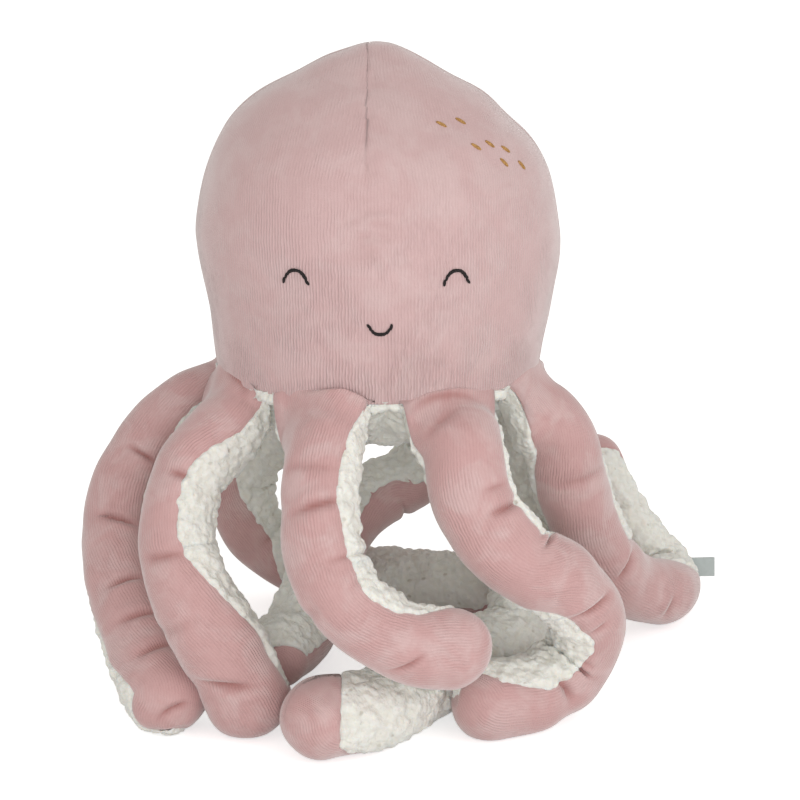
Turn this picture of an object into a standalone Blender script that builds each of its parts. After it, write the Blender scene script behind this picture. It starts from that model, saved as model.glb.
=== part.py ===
"""A small stuffed octopus that stands on its own curled arms.

Metres, +Z up. The face looks along -Y. The origin is on the floor, under the
middle of the whole toy. Each arm is sewn from a velour outer panel and a
fleece inner panel round a core of stuffing, and bends at two places: where it
leaves the head and about half way along.
"""

import math

import bmesh
import bpy
from mathutils import Matrix, Vector

# Head
HEAD_RADIUS = 0.0613
HEAD_HEIGHT = 0.1075
RIM_HEIGHT = 0.1105
HEAD_SIDE_OFFSET = -0.0127
HEAD_BACK_OFFSET = 0.0063
APEX_RADIUS = 0.0008
HEAD_STEPS = 20
# Each row is a share of the head's radius and of its height over the rim.
HEAD_OUTLINE_SHARES = (
    (0.90, 0.0),
    (0.915, 0.07),
    (0.945, 0.18),
    (0.985, 0.31),
    (1.0, 0.42),
    (0.99, 0.51),
    (0.945, 0.61),
    (0.85, 0.725),
    (0.70, 0.82),
    (0.50, 0.90),
    (0.27, 0.965),
    (0.11, 0.995),
)

# Cloth and seams
VELOUR_THICKNESS = 0.0012
FLEECE_THICKNESS = 0.0020
SEAM_GAP = 0.0004
STUFFING_GAP = 0.0005

# Panel that closes the head from below
BASE_SLOPE_DROP = 0.0135
BASE_SAG = 0.0030
BASE_SAG_SHARES = ((0.66, 0.55), (0.33, 0.9), (0.0, 1.0))

# Face
STITCH_RADIUS = 0.0006
EYE_SPREAD = 0.0252
EYE_HEIGHT = 0.0400
EYE_WIDTH = 0.0090
EYE_ARCH = 0.0036
MOUTH_OFFSET = 0.0014
MOUTH_HEIGHT = 0.0262
MOUTH_WIDTH = 0.0085
MOUTH_SAG = 0.0032
FACE_LINE_POINTS = 9

# Arms
ARM_WIDTH = 0.0256
ARM_THICKNESS = 0.0248
ARM_REACH = 0.100
ROOT_WIDTH = 0.0350
ROOT_THICKNESS = 0.0180
ROOT_BLEND = 0.0240
ROOT_DEPTH = 0.0063
RING_TURN = 3.5
FLAT_DEPTH = 0.0005
STATION_PITCH = 0.0168
ARC_STEPS = 5
TIP_TURNS = (45, 90)

# Folded ribbon sewn into the seam of one arm
RIBBON_WIDTH = 0.0072
RIBBON_LENGTH = 0.0078
RIBBON_THICKNESS = 0.0005
RIBBON_FOLD = 0.0006
RIBBON_PLACE_SHARE = 0.55

# Each row is one point of an arm's middle line: two shares of the arm's reach
# from the head's axis, one share of the drop from its root to the floor, and
# the way its velour side faces there.
ARM_ROUTE_SHARES = {
    "front_left": (
        (-0.17, -0.58, 0.94, (-0.7, -0.4, 0.6)),
        (-0.18, -0.70, 0.77, (-0.8, -0.5, 0.3)),
        (-0.16, -0.78, 0.58, (-0.7, -0.7, 0.1)),
        (-0.07, -0.84, 0.44, (-0.5, -0.8, -0.4)),
        (0.08, -0.84, 0.33, (-0.1, -0.9, -0.4)),
        (0.25, -0.82, 0.29, (0.1, -1.0, -0.2)),
    ),
    "left_front": (
        (-0.51, -0.33, 0.92, (-0.6, -0.2, 0.8)),
        (-0.62, -0.45, 0.78, (-0.9, 0.0, 0.4)),
        (-0.65, -0.55, 0.58, (-1.0, -0.3, 0.0)),
        (-0.59, -0.61, 0.38, (-0.6, -0.8, -0.1)),
        (-0.48, -0.62, 0.17, (-0.2, -1.0, -0.1)),
        (-0.42, -0.60, 0.0, (0.0, -1.0, -0.1)),
    ),
    "left_rear": (
        (-0.69, 0.09, 0.87, (-0.6, -0.1, 0.8)),
        (-0.83, 0.04, 0.69, (-0.7, -0.4, 0.6)),
        (-0.90, -0.08, 0.48, (-0.6, -0.6, 0.5)),
        (-0.86, -0.25, 0.27, (-0.2, -0.7, 0.7)),
        (-0.78, -0.42, 0.12, (0.1, -0.6, 0.8)),
        (-0.69, -0.57, 0.0, (0.5, -0.3, 0.8)),
    ),
    "rear_left": (
        (-0.37, 0.58, 0.69, (-0.4, 0.8, 0.5)),
        (-0.52, 0.64, 0.43, (-1.0, 0.0, 0.2)),
        (-0.47, 0.64, 0.18, (-0.7, -0.5, -0.4)),
        (-0.32, 0.62, 0.05, (-0.4, -0.3, -0.8)),
        (-0.13, 0.57, 0.0, (-0.2, -0.4, -0.9)),
        (0.08, 0.53, 0.0, (0.0, -0.3, -1.0)),
        (0.30, 0.50, 0.0, (-0.1, -0.4, -0.9)),
        (0.53, 0.45, 0.0, (-0.1, -0.5, -0.9)),
    ),
    "rear_right": (
        (0.23, 0.58, 0.62, (0.8, 0.6, 0.1)),
        (0.14, 0.60, 0.46, (0.6, 0.0, -0.8)),
        (0.0, 0.56, 0.38, (0.6, -0.4, -0.7)),
        (-0.14, 0.44, 0.28, (0.7, 0.0, -0.7)),
        (-0.22, 0.24, 0.13, (0.3, 0.4, -0.9)),
        (-0.28, 0.02, 0.01, (0.2, 0.2, -1.0)),
        (-0.36, -0.22, 0.0, (0.2, 0.0, -1.0)),
    ),
    "right_rear": (
        (0.50, 0.32, 0.77, (0.7, 0.6, 0.3)),
        (0.54, 0.32, 0.49, (0.9, 0.5, 0.0)),
        (0.55, 0.17, 0.21, (0.6, 0.6, -0.6)),
        (0.49, -0.06, 0.03, (-0.4, 0.6, -0.7)),
        (0.36, -0.19, 0.0, (-0.6, 0.6, -0.5)),
        (0.24, -0.33, 0.0, (-0.5, 0.4, -0.8)),
        (0.13, -0.50, 0.0, (-0.3, 0.2, -0.9)),
        (0.01, -0.68, 0.0, (-0.1, 0.1, -1.0)),
        (-0.17, -0.79, 0.01, (0.1, -0.2, -1.0)),
    ),
    "right_front": (
        (0.60, -0.12, 0.85, (0.5, -0.8, 0.3)),
        (0.67, -0.06, 0.62, (0.1, -1.0, 0.1)),
        (0.75, 0.06, 0.38, (-0.2, -1.0, 0.0)),
        (0.88, 0.22, 0.13, (-0.1, -1.0, -0.2)),
        (1.05, 0.40, 0.01, (0.2, -0.6, -0.8)),
        (1.07, 0.62, 0.01, (0.2, 0.3, -0.9)),
        (0.92, 0.70, 0.20, (0.2, 1.0, -0.2)),
        (0.81, 0.72, 0.45, (0.2, 1.0, 0.0)),
    ),
    "front_right": (
        (0.27, -0.58, 0.94, (-0.1, -0.7, 0.7)),
        (0.31, -0.66, 0.77, (-0.2, -1.0, 0.2)),
        (0.43, -0.68, 0.58, (0.0, -1.0, -0.2)),
        (0.60, -0.60, 0.44, (0.8, -0.5, 0.4)),
        (0.70, -0.50, 0.26, (1.0, -0.1, 0.1)),
        (0.66, -0.46, 0.08, (0.8, -0.2, -0.6)),
        (0.53, -0.54, 0.01, (0.4, -0.3, -0.9)),
        (0.37, -0.62, 0.0, (0.3, -0.5, -0.8)),
    ),
}

# The order of the arms round the rim, in steps of an eighth of a turn from
# the face towards the toy's right side in the picture.
ARM_RING = (
    ("front_right", 0.5),
    ("right_front", 1.5),
    ("right_rear", 2.5),
    ("rear_right", 3.5),
    ("rear_left", 4.5),
    ("left_rear", 5.5),
    ("left_front", 6.5),
    ("front_left", 7.5),
)

# Where along its length each arm bends.
ARM_BEND_SHARES = {
    "front_left": 0.55,
    "left_front": 0.52,
    "left_rear": 0.52,
    "rear_left": 0.45,
    "rear_right": 0.50,
    "right_rear": 0.78,
    "right_front": 0.43,
    "front_right": 0.52,
}
# How plump each arm is at its tip, as a share of the plain width.
ARM_TIP_SHARES = {
    "front_left": 1.02,
    "left_front": 1.0,
    "left_rear": 1.0,
    "rear_left": 0.98,
    "rear_right": 0.98,
    "right_rear": 1.10,
    "right_front": 0.98,
    "front_right": 1.02,
}

# The side of the section that each arm's two bends close towards.
SWING_TOWARDS = {
    "front_left": (-0.3, -0.6, 0.9),
    "left_front": (0.0, -0.74, 0.67),
    "left_rear": (-0.65, 0.4, 0.7),
    "rear_left": (0.3, 0.9, 0.3),
    "rear_right": (-0.97, 0.15, -0.19),
    "right_rear": (-0.88, 0.33, -0.34),
    "right_front": (0.7, -0.3, 0.6),
    "front_right": (0.3, -0.4, 0.9),
}
CURL_TOWARDS = {
    "front_left": (0.2, -0.9, 0.5),
    "left_front": (-0.4, -0.88, 0.28),
    "left_rear": (-0.7, -0.5, 0.5),
    "rear_left": (0.3, 0.9, 0.1),
    "rear_right": (0.3, -0.8, 0.5),
    "right_rear": (-0.34, 0.21, 0.92),
    "right_front": (0.8, 0.2, 0.6),
    "front_right": (0.64, -0.77, 0.08),
}

VELOUR = ("velour", (0.60, 0.34, 0.33, 1.0), 0.9)
FLEECE = ("fleece", (0.72, 0.71, 0.66, 1.0), 0.95)
STUFFING = ("stuffing", (0.85, 0.85, 0.83, 1.0), 1.0)
THREAD = ("thread", (0.04, 0.04, 0.045, 1.0), 0.6)
RIBBON = ("ribbon", (0.30, 0.37, 0.36, 1.0), 0.7)


def clear_scene():
    """Leave the scene with no objects."""
    for obj in list(bpy.data.objects):
        bpy.data.objects.remove(obj, do_unlink=True)


def new_collection(name):
    """Return a new collection in the scene."""
    collection = bpy.data.collections.new(name)
    bpy.context.scene.collection.children.link(collection)
    return collection


def new_material(name, kind):
    """Return a material of one of the toy's cloths, for one piece."""
    _, colour, roughness = kind
    material = bpy.data.materials.new(name + "_" + kind[0])
    material.use_nodes = True
    shader = material.node_tree.nodes["Principled BSDF"]
    shader.inputs["Base Color"].default_value = colour
    shader.inputs["Roughness"].default_value = roughness
    shader.inputs["Metallic"].default_value = 0.0
    material.diffuse_color = colour
    return material


def add_object(name, data, kind, collection):
    """Link a new object with its own material."""
    obj = bpy.data.objects.new(name, data)
    collection.objects.link(obj)
    obj.data.materials.append(new_material(name, kind))
    return obj


def mesh_from(name, points, faces):
    """Return a smooth mesh with its faces turned outwards."""
    mesh = bpy.data.meshes.new(name)
    mesh.from_pydata([tuple(p) for p in points], [], faces)
    work = bmesh.new()
    work.from_mesh(mesh)
    bmesh.ops.recalc_face_normals(work, faces=work.faces)
    if work.calc_volume(signed=True) < 0:
        bmesh.ops.reverse_faces(work, faces=work.faces)
    work.to_mesh(mesh)
    work.free()
    mesh.shade_smooth()
    mesh.set_sharp_from_angle(angle=math.radians(50))
    return mesh


def head_outline():
    """The head's outer profile as (radius, height) from the apex to the rim."""
    rows = [(r * HEAD_RADIUS, RIM_HEIGHT + z * HEAD_HEIGHT) for r, z in HEAD_OUTLINE_SHARES]
    rows.append((APEX_RADIUS, RIM_HEIGHT + HEAD_HEIGHT))
    return rows[::-1]


def rim_radius():
    """The head's radius at its lower edge."""
    return HEAD_OUTLINE_SHARES[0][0] * HEAD_RADIUS


def base_top():
    """The height of the base panel's outer edge, which seats under the rim."""
    return RIM_HEIGHT - SEAM_GAP - FLEECE_THICKNESS / math.sqrt(2)


def base_outline():
    """The base panel's outer profile from the rim to the middle."""
    edge = rim_radius() - BASE_SLOPE_DROP
    low = base_top() - BASE_SLOPE_DROP
    rows = [(rim_radius(), base_top()), (edge, low)]
    rows += [(edge * r, low - BASE_SAG * z) for r, z in BASE_SAG_SHARES]
    return rows


def head_radius_at(height):
    """The head's outer radius at a height over the floor."""
    rows = head_outline()
    for (r1, z1), (r2, z2) in zip(rows, rows[1:]):
        if z2 <= height <= z1:
            return r2 + (r1 - r2) * (height - z2) / (z1 - z2)
    return rows[-1][0]


def moved_inwards(rows, depth):
    """A profile moved inwards, square to itself, by its cloth's depth."""
    out = []
    for i, (r, z) in enumerate(rows):
        r1, z1 = rows[max(i - 1, 0)]
        r2, z2 = rows[min(i + 1, len(rows) - 1)]
        run = math.hypot(r2 - r1, z2 - z1)
        out.append((r + (z2 - z1) / run * depth, z - (r2 - r1) / run * depth))
    return out


def turned(name, rows, kind, collection, turn, steps):
    """A profile turned about the head's axis, as a Screw modifier makes it."""
    mesh = bpy.data.meshes.new(name)
    edges = [(i, i + 1) for i in range(len(rows) - 1)]
    mesh.from_pydata([(r, 0.0, z) for r, z in rows], edges, [])
    obj = add_object(name, mesh, kind, collection)
    screw = obj.modifiers.new("turn", "SCREW")
    screw.axis = "Z"
    screw.angle = turn
    screw.steps = steps
    screw.render_steps = steps
    screw.use_smooth_shade = True
    screw.use_merge_vertices = True
    screw.merge_threshold = 0.0001
    return obj


def thickened(obj, thickness):
    """Give an open sheet its cloth's thickness, inwards."""
    solid = obj.modifiers.new("thickness", "SOLIDIFY")
    solid.thickness = thickness
    solid.offset = -1.0
    solid.use_even_offset = True


def make_head(collection):
    """The two velour panels, the base panel and the stuffing of the head."""
    axis = Vector((HEAD_SIDE_OFFSET, HEAD_BACK_OFFSET, 0.0))
    half = HEAD_STEPS // 2
    for name, turn, side in (("head_front_panel", math.pi, -1), ("head_back_panel", 0.0, 1)):
        panel = turned(name, head_outline(), VELOUR, collection, math.pi, half)
        thickened(panel, VELOUR_THICKNESS)
        panel.rotation_euler = (0.0, 0.0, turn)
        panel.location = axis + Vector((0.0, side * SEAM_GAP, 0.0))
    base = turned("base_panel", base_outline(), FLEECE, collection, math.tau, HEAD_STEPS)
    thickened(base, FLEECE_THICKNESS)
    base.location = axis
    upper = moved_inwards(head_outline(), VELOUR_THICKNESS + STUFFING_GAP)
    lower = moved_inwards(base_outline(), FLEECE_THICKNESS + STUFFING_GAP)
    upper[0] = (0.0, upper[0][1])
    fill_rows = upper[:-1] + lower[1:-1] + [(0.0, lower[-1][1])]
    fill = turned("head_stuffing", fill_rows, STUFFING, collection, math.tau, HEAD_STEPS)
    fill.location = axis


def face_line(name, across, height, width, rise, collection):
    """A satin-stitched arc that lies on the head, arched up or sagging down."""
    curve = bpy.data.curves.new(name, "CURVE")
    curve.dimensions = "3D"
    curve.bevel_depth = STITCH_RADIUS
    curve.bevel_resolution = 2
    curve.use_fill_caps = True
    spline = curve.splines.new("POLY")
    spline.points.add(FACE_LINE_POINTS - 1)
    for i, point in enumerate(spline.points):
        t = 2 * i / (FACE_LINE_POINTS - 1) - 1
        x = across + t * width / 2
        z = RIM_HEIGHT + height + rise * (1 - t * t)
        out = head_radius_at(z) + 2 * SEAM_GAP + STITCH_RADIUS
        y = -math.sqrt(out * out - x * x)
        point.co = (x, y, z, 1.0)
    obj = add_object(name, curve, THREAD, collection)
    obj.location = (HEAD_SIDE_OFFSET, HEAD_BACK_OFFSET, 0.0)


def make_face(collection):
    """Two closed eyes and a small smile."""
    for name, side in (("eye_left", -1), ("eye_right", 1)):
        face_line(name, side * EYE_SPREAD, EYE_HEIGHT, EYE_WIDTH, EYE_ARCH, collection)
    face_line("mouth", MOUTH_OFFSET, MOUTH_HEIGHT, MOUTH_WIDTH, -MOUTH_SAG, collection)


def curve_point(rows, i, t):
    """A point of the smooth curve through the rows, t of the way from row i."""
    a, b, c, d = rows[i - 1], rows[i], rows[i + 1], rows[i + 2]
    return (b * 2 + (c - a) * t + (a * 2 - b * 5 + c * 4 - d) * t**2 + (b * 3 - a - c * 3 + d) * t**3) / 2


class Arm:
    """The middle line of one arm, with its section and its two hinges."""

    samples = 24

    def __init__(self, name, ring_place):
        self.name = name
        turn = math.radians(ring_place * 45 + RING_TURN)
        self.radial = Vector((math.sin(turn), -math.cos(turn), 0.0))
        self.axis = Vector((HEAD_SIDE_OFFSET, HEAD_BACK_OFFSET, 0.0))
        lie = ARM_THICKNESS / 2 - FLAT_DEPTH
        root = self.axis + self.radial * (rim_radius() - ROOT_DEPTH)
        root.z = base_top() - ROOT_DEPTH - SEAM_GAP
        rise = root.z - lie
        points, faces = [root], [self.radial + Vector((0.0, 0.0, 1.0))]
        for x, y, z, facing in ARM_ROUTE_SHARES[name]:
            points.append(self.axis + Vector((x * ARM_REACH, y * ARM_REACH, lie + z * rise)))
            faces.append(Vector(facing).normalized())
        self.start = (self.radial - Vector((0.0, 0.0, 1.0))).normalized()
        points = self.padded_ends(points)
        faces = [faces[0]] + faces + [faces[-1]]
        self.trace(points, faces)

    def padded_ends(self, points):
        """The points with one more at each end, which set the end directions."""
        lead = (points[1] - points[0]).length
        before = points[1] - self.start * 2 * lead
        after = points[-1] * 2 - points[-2]
        return [before] + points + [after]

    def trace(self, points, faces):
        """Sample the smooth line and its facing at even steps of the curve."""
        self.line, self.facing, self.along = [], [], [0.0]
        for i in range(1, len(points) - 2):
            for k in range(self.samples):
                t = k / self.samples
                self.line.append(curve_point(points, i, t))
                self.facing.append(faces[i].lerp(faces[i + 1], t))
        self.line.append(points[-2])
        self.facing.append(faces[-2])
        for a, b in zip(self.line, self.line[1:]):
            self.along.append(self.along[-1] + (b - a).length)
        self.length = self.along[-1]

    def frame(self, distance):
        """Centre, direction, width direction and facing at a distance along."""
        i = 0
        while i < len(self.along) - 2 and self.along[i + 1] < distance:
            i += 1
        t = (distance - self.along[i]) / (self.along[i + 1] - self.along[i])
        centre = self.line[i].lerp(self.line[i + 1], t)
        before, after = self.line[max(i - 1, 0)], self.line[min(i + 2, len(self.line) - 1)]
        along = self.start if distance <= 0 else (after - before).normalized()
        facing = self.facing[i].lerp(self.facing[i + 1], t)
        facing = (facing - along * facing.dot(along)).normalized()
        return centre, along, along.cross(facing), facing

    def half_sizes(self, distance):
        """Half the section's width and thickness at a distance along."""
        plump = 1 + (ARM_TIP_SHARES[self.name] - 1) * distance / self.length
        near = max(0.0, 1 - distance / ROOT_BLEND) ** 2
        wide = ARM_WIDTH * plump + (ROOT_WIDTH - ARM_WIDTH) * near
        thick = ARM_THICKNESS * plump + (ROOT_THICKNESS - ARM_THICKNESS) * near
        return wide / 2, thick / 2

    def bend(self):
        """The distance along at which the arm bends in its middle."""
        return ARM_BEND_SHARES[self.name] * self.length

    def hinge(self, distance, towards):
        """The hinge's place on the skin, and its axis, for one bend."""
        centre, along, across, facing = self.frame(distance)
        towards = Vector(towards)
        towards = (towards - along * towards.dot(along)).normalized()
        wide, thick = self.half_sizes(distance)
        reach = math.hypot(wide * towards.dot(across), thick * towards.dot(facing))
        place = centre + towards * (reach + SEAM_GAP / 2)
        return place, along.cross(towards)


def seated(point, next_point, arm):
    """A point of an arm's root, slid along its skin onto the head's underside."""
    along = (next_point - point).normalized()
    low, high = -BASE_SLOPE_DROP, BASE_SLOPE_DROP
    for _ in range(40):
        middle = (low + high) / 2
        place = point - along * middle - arm.axis
        cone = rim_radius() + place.z - base_top()
        clear = (math.hypot(place.x, place.y) - cone) / math.sqrt(2)
        if clear > SEAM_GAP:
            low = middle
        else:
            high = middle
    return point - along * low


def stations(arm, start, end, tip):
    """The distances and cap turns of the rings of one arm piece."""
    count = max(3, round((end - start) / STATION_PITCH))
    rows = [(start + (end - start) * i / count, 0.0) for i in range(count + 1)]
    if tip:
        rows += [(end, math.radians(turn)) for turn in TIP_TURNS]
    return rows


def ring(arm, place, depth, side, turns):
    """One ring of points: a half or whole section, drawn in by a depth."""
    distance, cap = place
    centre, along, across, facing = arm.frame(distance)
    wide, thick = arm.half_sizes(distance)
    centre = centre + along * (thick - depth) * math.sin(cap)
    if side:
        centre = centre + facing * side * SEAM_GAP / 2
    wide = (wide - depth) * math.cos(cap)
    thick = (thick - depth) * math.cos(cap)
    out = [centre + across * wide * math.cos(a) + facing * thick * math.sin(a) for a in turns]
    return out, centre


def open_turns(side):
    """The turns round the section of a half that faces one side."""
    return [side * math.pi * i / ARC_STEPS for i in range(ARC_STEPS + 1)]


def whole_turns():
    """The turns round a whole section."""
    return [math.pi * i / ARC_STEPS for i in range(2 * ARC_STEPS)]


def shell_mesh(name, arm, rows, thickness, side, seat, shifts):
    """A half tube of cloth: an outer and an inner sheet joined at their edges."""
    turns = open_turns(side)
    width = len(turns)
    points, outer, inner = [], [], []
    for i, place in enumerate(rows):
        for sheet, depth in ((outer, 0.0), (inner, thickness)):
            found, centre = ring(arm, place, depth, side, turns)
            if seat and i == 0:
                beyond, _ = ring(arm, rows[1], depth, side, turns)
                found = [seated(p, q, arm) for p, q in zip(found, beyond)]
            if place[1] > math.radians(89):
                sheet.append([len(points)] * width)
                points.append(centre)
                continue
            sheet.append(list(range(len(points), len(points) + width)))
            points += [p + shifts[i] for p in found]
    faces = []
    for i in range(len(rows) - 1):
        for sheet in (outer, inner):
            for k in range(width - 1):
                add_quad(faces, sheet[i][k], sheet[i][k + 1], sheet[i + 1][k + 1], sheet[i + 1][k])
        for k in (0, width - 1):
            add_quad(faces, outer[i][k], inner[i][k], inner[i + 1][k], outer[i + 1][k])
    for i in (0, len(rows) - 1):
        for k in range(width - 1):
            add_quad(faces, outer[i][k], outer[i][k + 1], inner[i][k + 1], inner[i][k])
    return mesh_from(name, points, faces)


def core_mesh(name, arm, rows, seat, shifts):
    """A solid core of stuffing that fills the two cloths of an arm piece."""
    turns = whole_turns()
    width = len(turns)
    points, rings = [], []
    for i, place in enumerate(rows):
        velour, _ = ring(arm, place, VELOUR_THICKNESS + STUFFING_GAP, 0, turns)
        fleece, centre = ring(arm, place, FLEECE_THICKNESS + STUFFING_GAP, 0, turns)
        if place[1] > math.radians(89):
            rings.append([len(points)] * width)
            points.append(centre)
            continue
        rings.append(list(range(len(points), len(points) + width)))
        found = [v if 0 < k < ARC_STEPS else f for k, (v, f) in enumerate(zip(velour, fleece))]
        points += [p + shifts[i] for p in found]
    if seat:
        for k in range(width):
            back = points[k] - points[k + width]
            points[k] -= back.normalized() * SEAM_GAP * 2
    faces = []
    for a, b in zip(rings, rings[1:]):
        for k in range(width):
            n = (k + 1) % width
            if k < ARC_STEPS:
                add_quad(faces, a[k], a[n], b[n], b[k])
            else:
                add_quad(faces, a[n], a[k], b[k], b[n])
    faces.append(tuple(reversed(rings[0])))
    if len(set(rings[-1])) > 1:
        faces.append(tuple(rings[-1]))
    return mesh_from(name, points, faces)


def add_quad(faces, a, b, c, d):
    """Two triangles over four corners, leaving out one that has no area."""
    for triangle in ((a, b, c), (a, c, d)):
        if len(set(triangle)) == 3:
            faces.append(triangle)


def new_hinge(name, place, axis, parent, collection):
    """An empty on a hinge, with its Z axis along the hinge's axis."""
    empty = bpy.data.objects.new(name, None)
    collection.objects.link(empty)
    empty.empty_display_size = ARM_WIDTH / 2
    turn = Vector((0.0, 0.0, 1.0)).rotation_difference(axis)
    world = Matrix.Translation(place) @ turn.to_matrix().to_4x4()
    if parent:
        empty.parent = parent
        bpy.context.view_layer.update()
        empty.matrix_parent_inverse = parent.matrix_world.inverted()
    empty.matrix_world = world
    bpy.context.view_layer.update()
    return empty


def hang_from(obj, empty):
    """Parent an object to a hinge, keeping its mesh where it was drawn."""
    obj.data.transform(empty.matrix_world.inverted())
    obj.parent = empty


def cut_at_floor(obj, cutter):
    """Flatten what would reach under the floor."""
    lowest = min((obj.matrix_world @ v.co).z for v in obj.data.vertices)
    if lowest < 0:
        cut = obj.modifiers.new("floor", "BOOLEAN")
        cut.operation = "DIFFERENCE"
        cut.solver = "EXACT"
        cut.object = cutter


def make_arm(arm, cutter, collection):
    """The six pieces of one arm, hung from its two hinges."""
    place, axis = arm.hinge(0.0, SWING_TOWARDS[arm.name])
    swing = new_hinge("arm_" + arm.name + "_swing", place, axis, None, collection)
    place, axis = arm.hinge(arm.bend(), CURL_TOWARDS[arm.name])
    curl = new_hinge("arm_" + arm.name + "_curl", place, axis, swing, collection)
    for part, empty, start, end in (
        ("upper", swing, 0.0, arm.bend()),
        ("lower", curl, arm.bend(), arm.length),
    ):
        seat = part == "upper"
        rows = stations(arm, start, end, not seat)
        shifts = [Vector()] * len(rows)
        _, along, _, _ = arm.frame(arm.bend())
        if seat:
            shifts[-1] = -along * SEAM_GAP / 2
        else:
            shifts[0] = along * SEAM_GAP / 2
        stem = "arm_" + arm.name + "_" + part
        pieces = (
            ("_velour", VELOUR, shell_mesh(stem, arm, rows, VELOUR_THICKNESS, 1, seat, shifts)),
            ("_fleece", FLEECE, shell_mesh(stem, arm, rows, FLEECE_THICKNESS, -1, seat, shifts)),
            ("_stuffing", STUFFING, core_mesh(stem, arm, rows, seat, shifts)),
        )
        for ending, kind, mesh in pieces:
            obj = add_object(stem + ending, mesh, kind, collection)
            hang_from(obj, empty)
            bpy.context.view_layer.update()
            cut_at_floor(obj, cutter)
    return curl


def make_ribbon(arm, curl, collection):
    """A bare ribbon, folded in half, whose ends are sewn into the arm's seam."""
    distance = arm.bend() + RIBBON_PLACE_SHARE * (arm.length - arm.bend())
    centre, along, across, facing = arm.frame(distance)
    outwards = -across
    wide, _ = arm.half_sizes(distance)
    outer = RIBBON_FOLD / 2 + RIBBON_THICKNESS
    inner = RIBBON_FOLD / 2
    start = wide + SEAM_GAP
    outline = [(start, -outer), (start + RIBBON_LENGTH - outer, -outer)]
    for i in range(1, 6):
        turn = math.pi * i / 6 - math.pi / 2
        outline.append((start + RIBBON_LENGTH - outer + outer * math.cos(turn), outer * math.sin(turn)))
    outline += [(start + RIBBON_LENGTH - outer, outer), (start, outer), (start, inner)]
    outline.append((start + RIBBON_LENGTH - outer, inner))
    for i in range(1, 4):
        turn = math.pi / 2 - math.pi * i / 4
        outline.append((start + RIBBON_LENGTH - outer + inner * math.cos(turn), inner * math.sin(turn)))
    outline += [(start + RIBBON_LENGTH - outer, -inner), (start, -inner)]
    curve = bpy.data.curves.new("ribbon_tag", "CURVE")
    curve.dimensions = "2D"
    curve.fill_mode = "BOTH"
    curve.extrude = RIBBON_WIDTH / 2
    spline = curve.splines.new("POLY")
    spline.points.add(len(outline) - 1)
    spline.use_cyclic_u = True
    for point, (x, y) in zip(spline.points, outline):
        point.co = (x, y, 0.0, 1.0)
    obj = add_object("ribbon_tag", curve, RIBBON, collection)
    world = Matrix((outwards, facing, along)).transposed().to_4x4()
    world.translation = centre
    if world.to_3x3().determinant() < 0:
        world = world @ Matrix.Diagonal((1.0, 1.0, -1.0, 1.0))
    obj.parent = curl
    bpy.context.view_layer.update()
    obj.matrix_parent_inverse = curl.matrix_world.inverted()
    obj.matrix_world = world


def make_floor_cutter(collection):
    """A block whose top is the floor."""
    size = 4 * ARM_REACH
    bpy.ops.mesh.primitive_cube_add(size=1.0, location=(0.0, 0.0, -size / 2))
    block = bpy.context.object
    block.name = "floor_cutter"
    block.scale = (size, size, size)
    bpy.ops.object.transform_apply(location=False, rotation=False, scale=True)
    for other in list(block.users_collection):
        other.objects.unlink(block)
    collection.objects.link(block)
    block.hide_render = True
    block.display_type = "WIRE"
    return block


def main():
    clear_scene()
    toy = new_collection("plush_octopus")
    cutters = new_collection("cutters")
    cutter = make_floor_cutter(cutters)
    make_head(toy)
    make_face(toy)
    for name, ring_place in ARM_RING:
        arm = Arm(name, ring_place)
        curl = make_arm(arm, cutter, toy)
        if name == "right_front":
            make_ribbon(arm, curl, toy)


main()
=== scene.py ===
import math

import bpy
import numpy as np
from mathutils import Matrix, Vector


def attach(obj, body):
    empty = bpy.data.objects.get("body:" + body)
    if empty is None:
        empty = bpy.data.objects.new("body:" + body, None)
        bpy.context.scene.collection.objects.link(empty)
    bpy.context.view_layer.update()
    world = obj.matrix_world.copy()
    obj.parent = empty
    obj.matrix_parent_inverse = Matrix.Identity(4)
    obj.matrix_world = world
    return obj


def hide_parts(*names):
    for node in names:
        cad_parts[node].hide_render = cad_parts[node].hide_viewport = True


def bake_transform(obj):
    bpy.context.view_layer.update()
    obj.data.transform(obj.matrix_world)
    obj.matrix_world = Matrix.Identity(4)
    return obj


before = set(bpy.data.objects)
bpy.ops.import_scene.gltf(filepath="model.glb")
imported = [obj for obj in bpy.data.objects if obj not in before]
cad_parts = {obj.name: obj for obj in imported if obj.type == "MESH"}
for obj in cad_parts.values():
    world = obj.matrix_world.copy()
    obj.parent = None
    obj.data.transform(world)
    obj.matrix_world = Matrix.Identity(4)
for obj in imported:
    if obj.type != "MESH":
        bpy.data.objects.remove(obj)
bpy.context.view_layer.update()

MM = 0.001

# ---------------------------------------------------------------- sizes, as in the part's source
HEAD_RADIUS = 0.0613
HEAD_HEIGHT = 0.1075
RIM_HEIGHT = 0.1105
HEAD_SIDE_OFFSET = -0.0127
HEAD_BACK_OFFSET = 0.0063
RIM_SHARE = 0.90
FLEECE_THICKNESS = 0.0020
SEAM_GAP = 0.0004
BASE_SLOPE_DROP = 0.0135
BASE_SAG = 0.0030
EYE_SPREAD = 0.0252
EYE_HEIGHT = 0.0400
EYE_WIDTH = 0.0090
EYE_ARCH = 0.0036
MOUTH_OFFSET = 0.0014
MOUTH_HEIGHT = 0.0262
MOUTH_WIDTH = 0.0085
MOUTH_SAG = 0.0032
ARM_WIDTH = 0.0256
ARM_THICKNESS = 0.0248
ARM_REACH = 0.100
ROOT_WIDTH = 0.0350
ROOT_THICKNESS = 0.0180
ROOT_BLEND = 0.0240
ROOT_DEPTH = 0.0063
RING_TURN = 3.5
FLAT_DEPTH = 0.0005
RIBBON_WIDTH = 0.0072
RIBBON_LENGTH = 0.0078
RIBBON_PLACE_SHARE = 0.55

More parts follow.
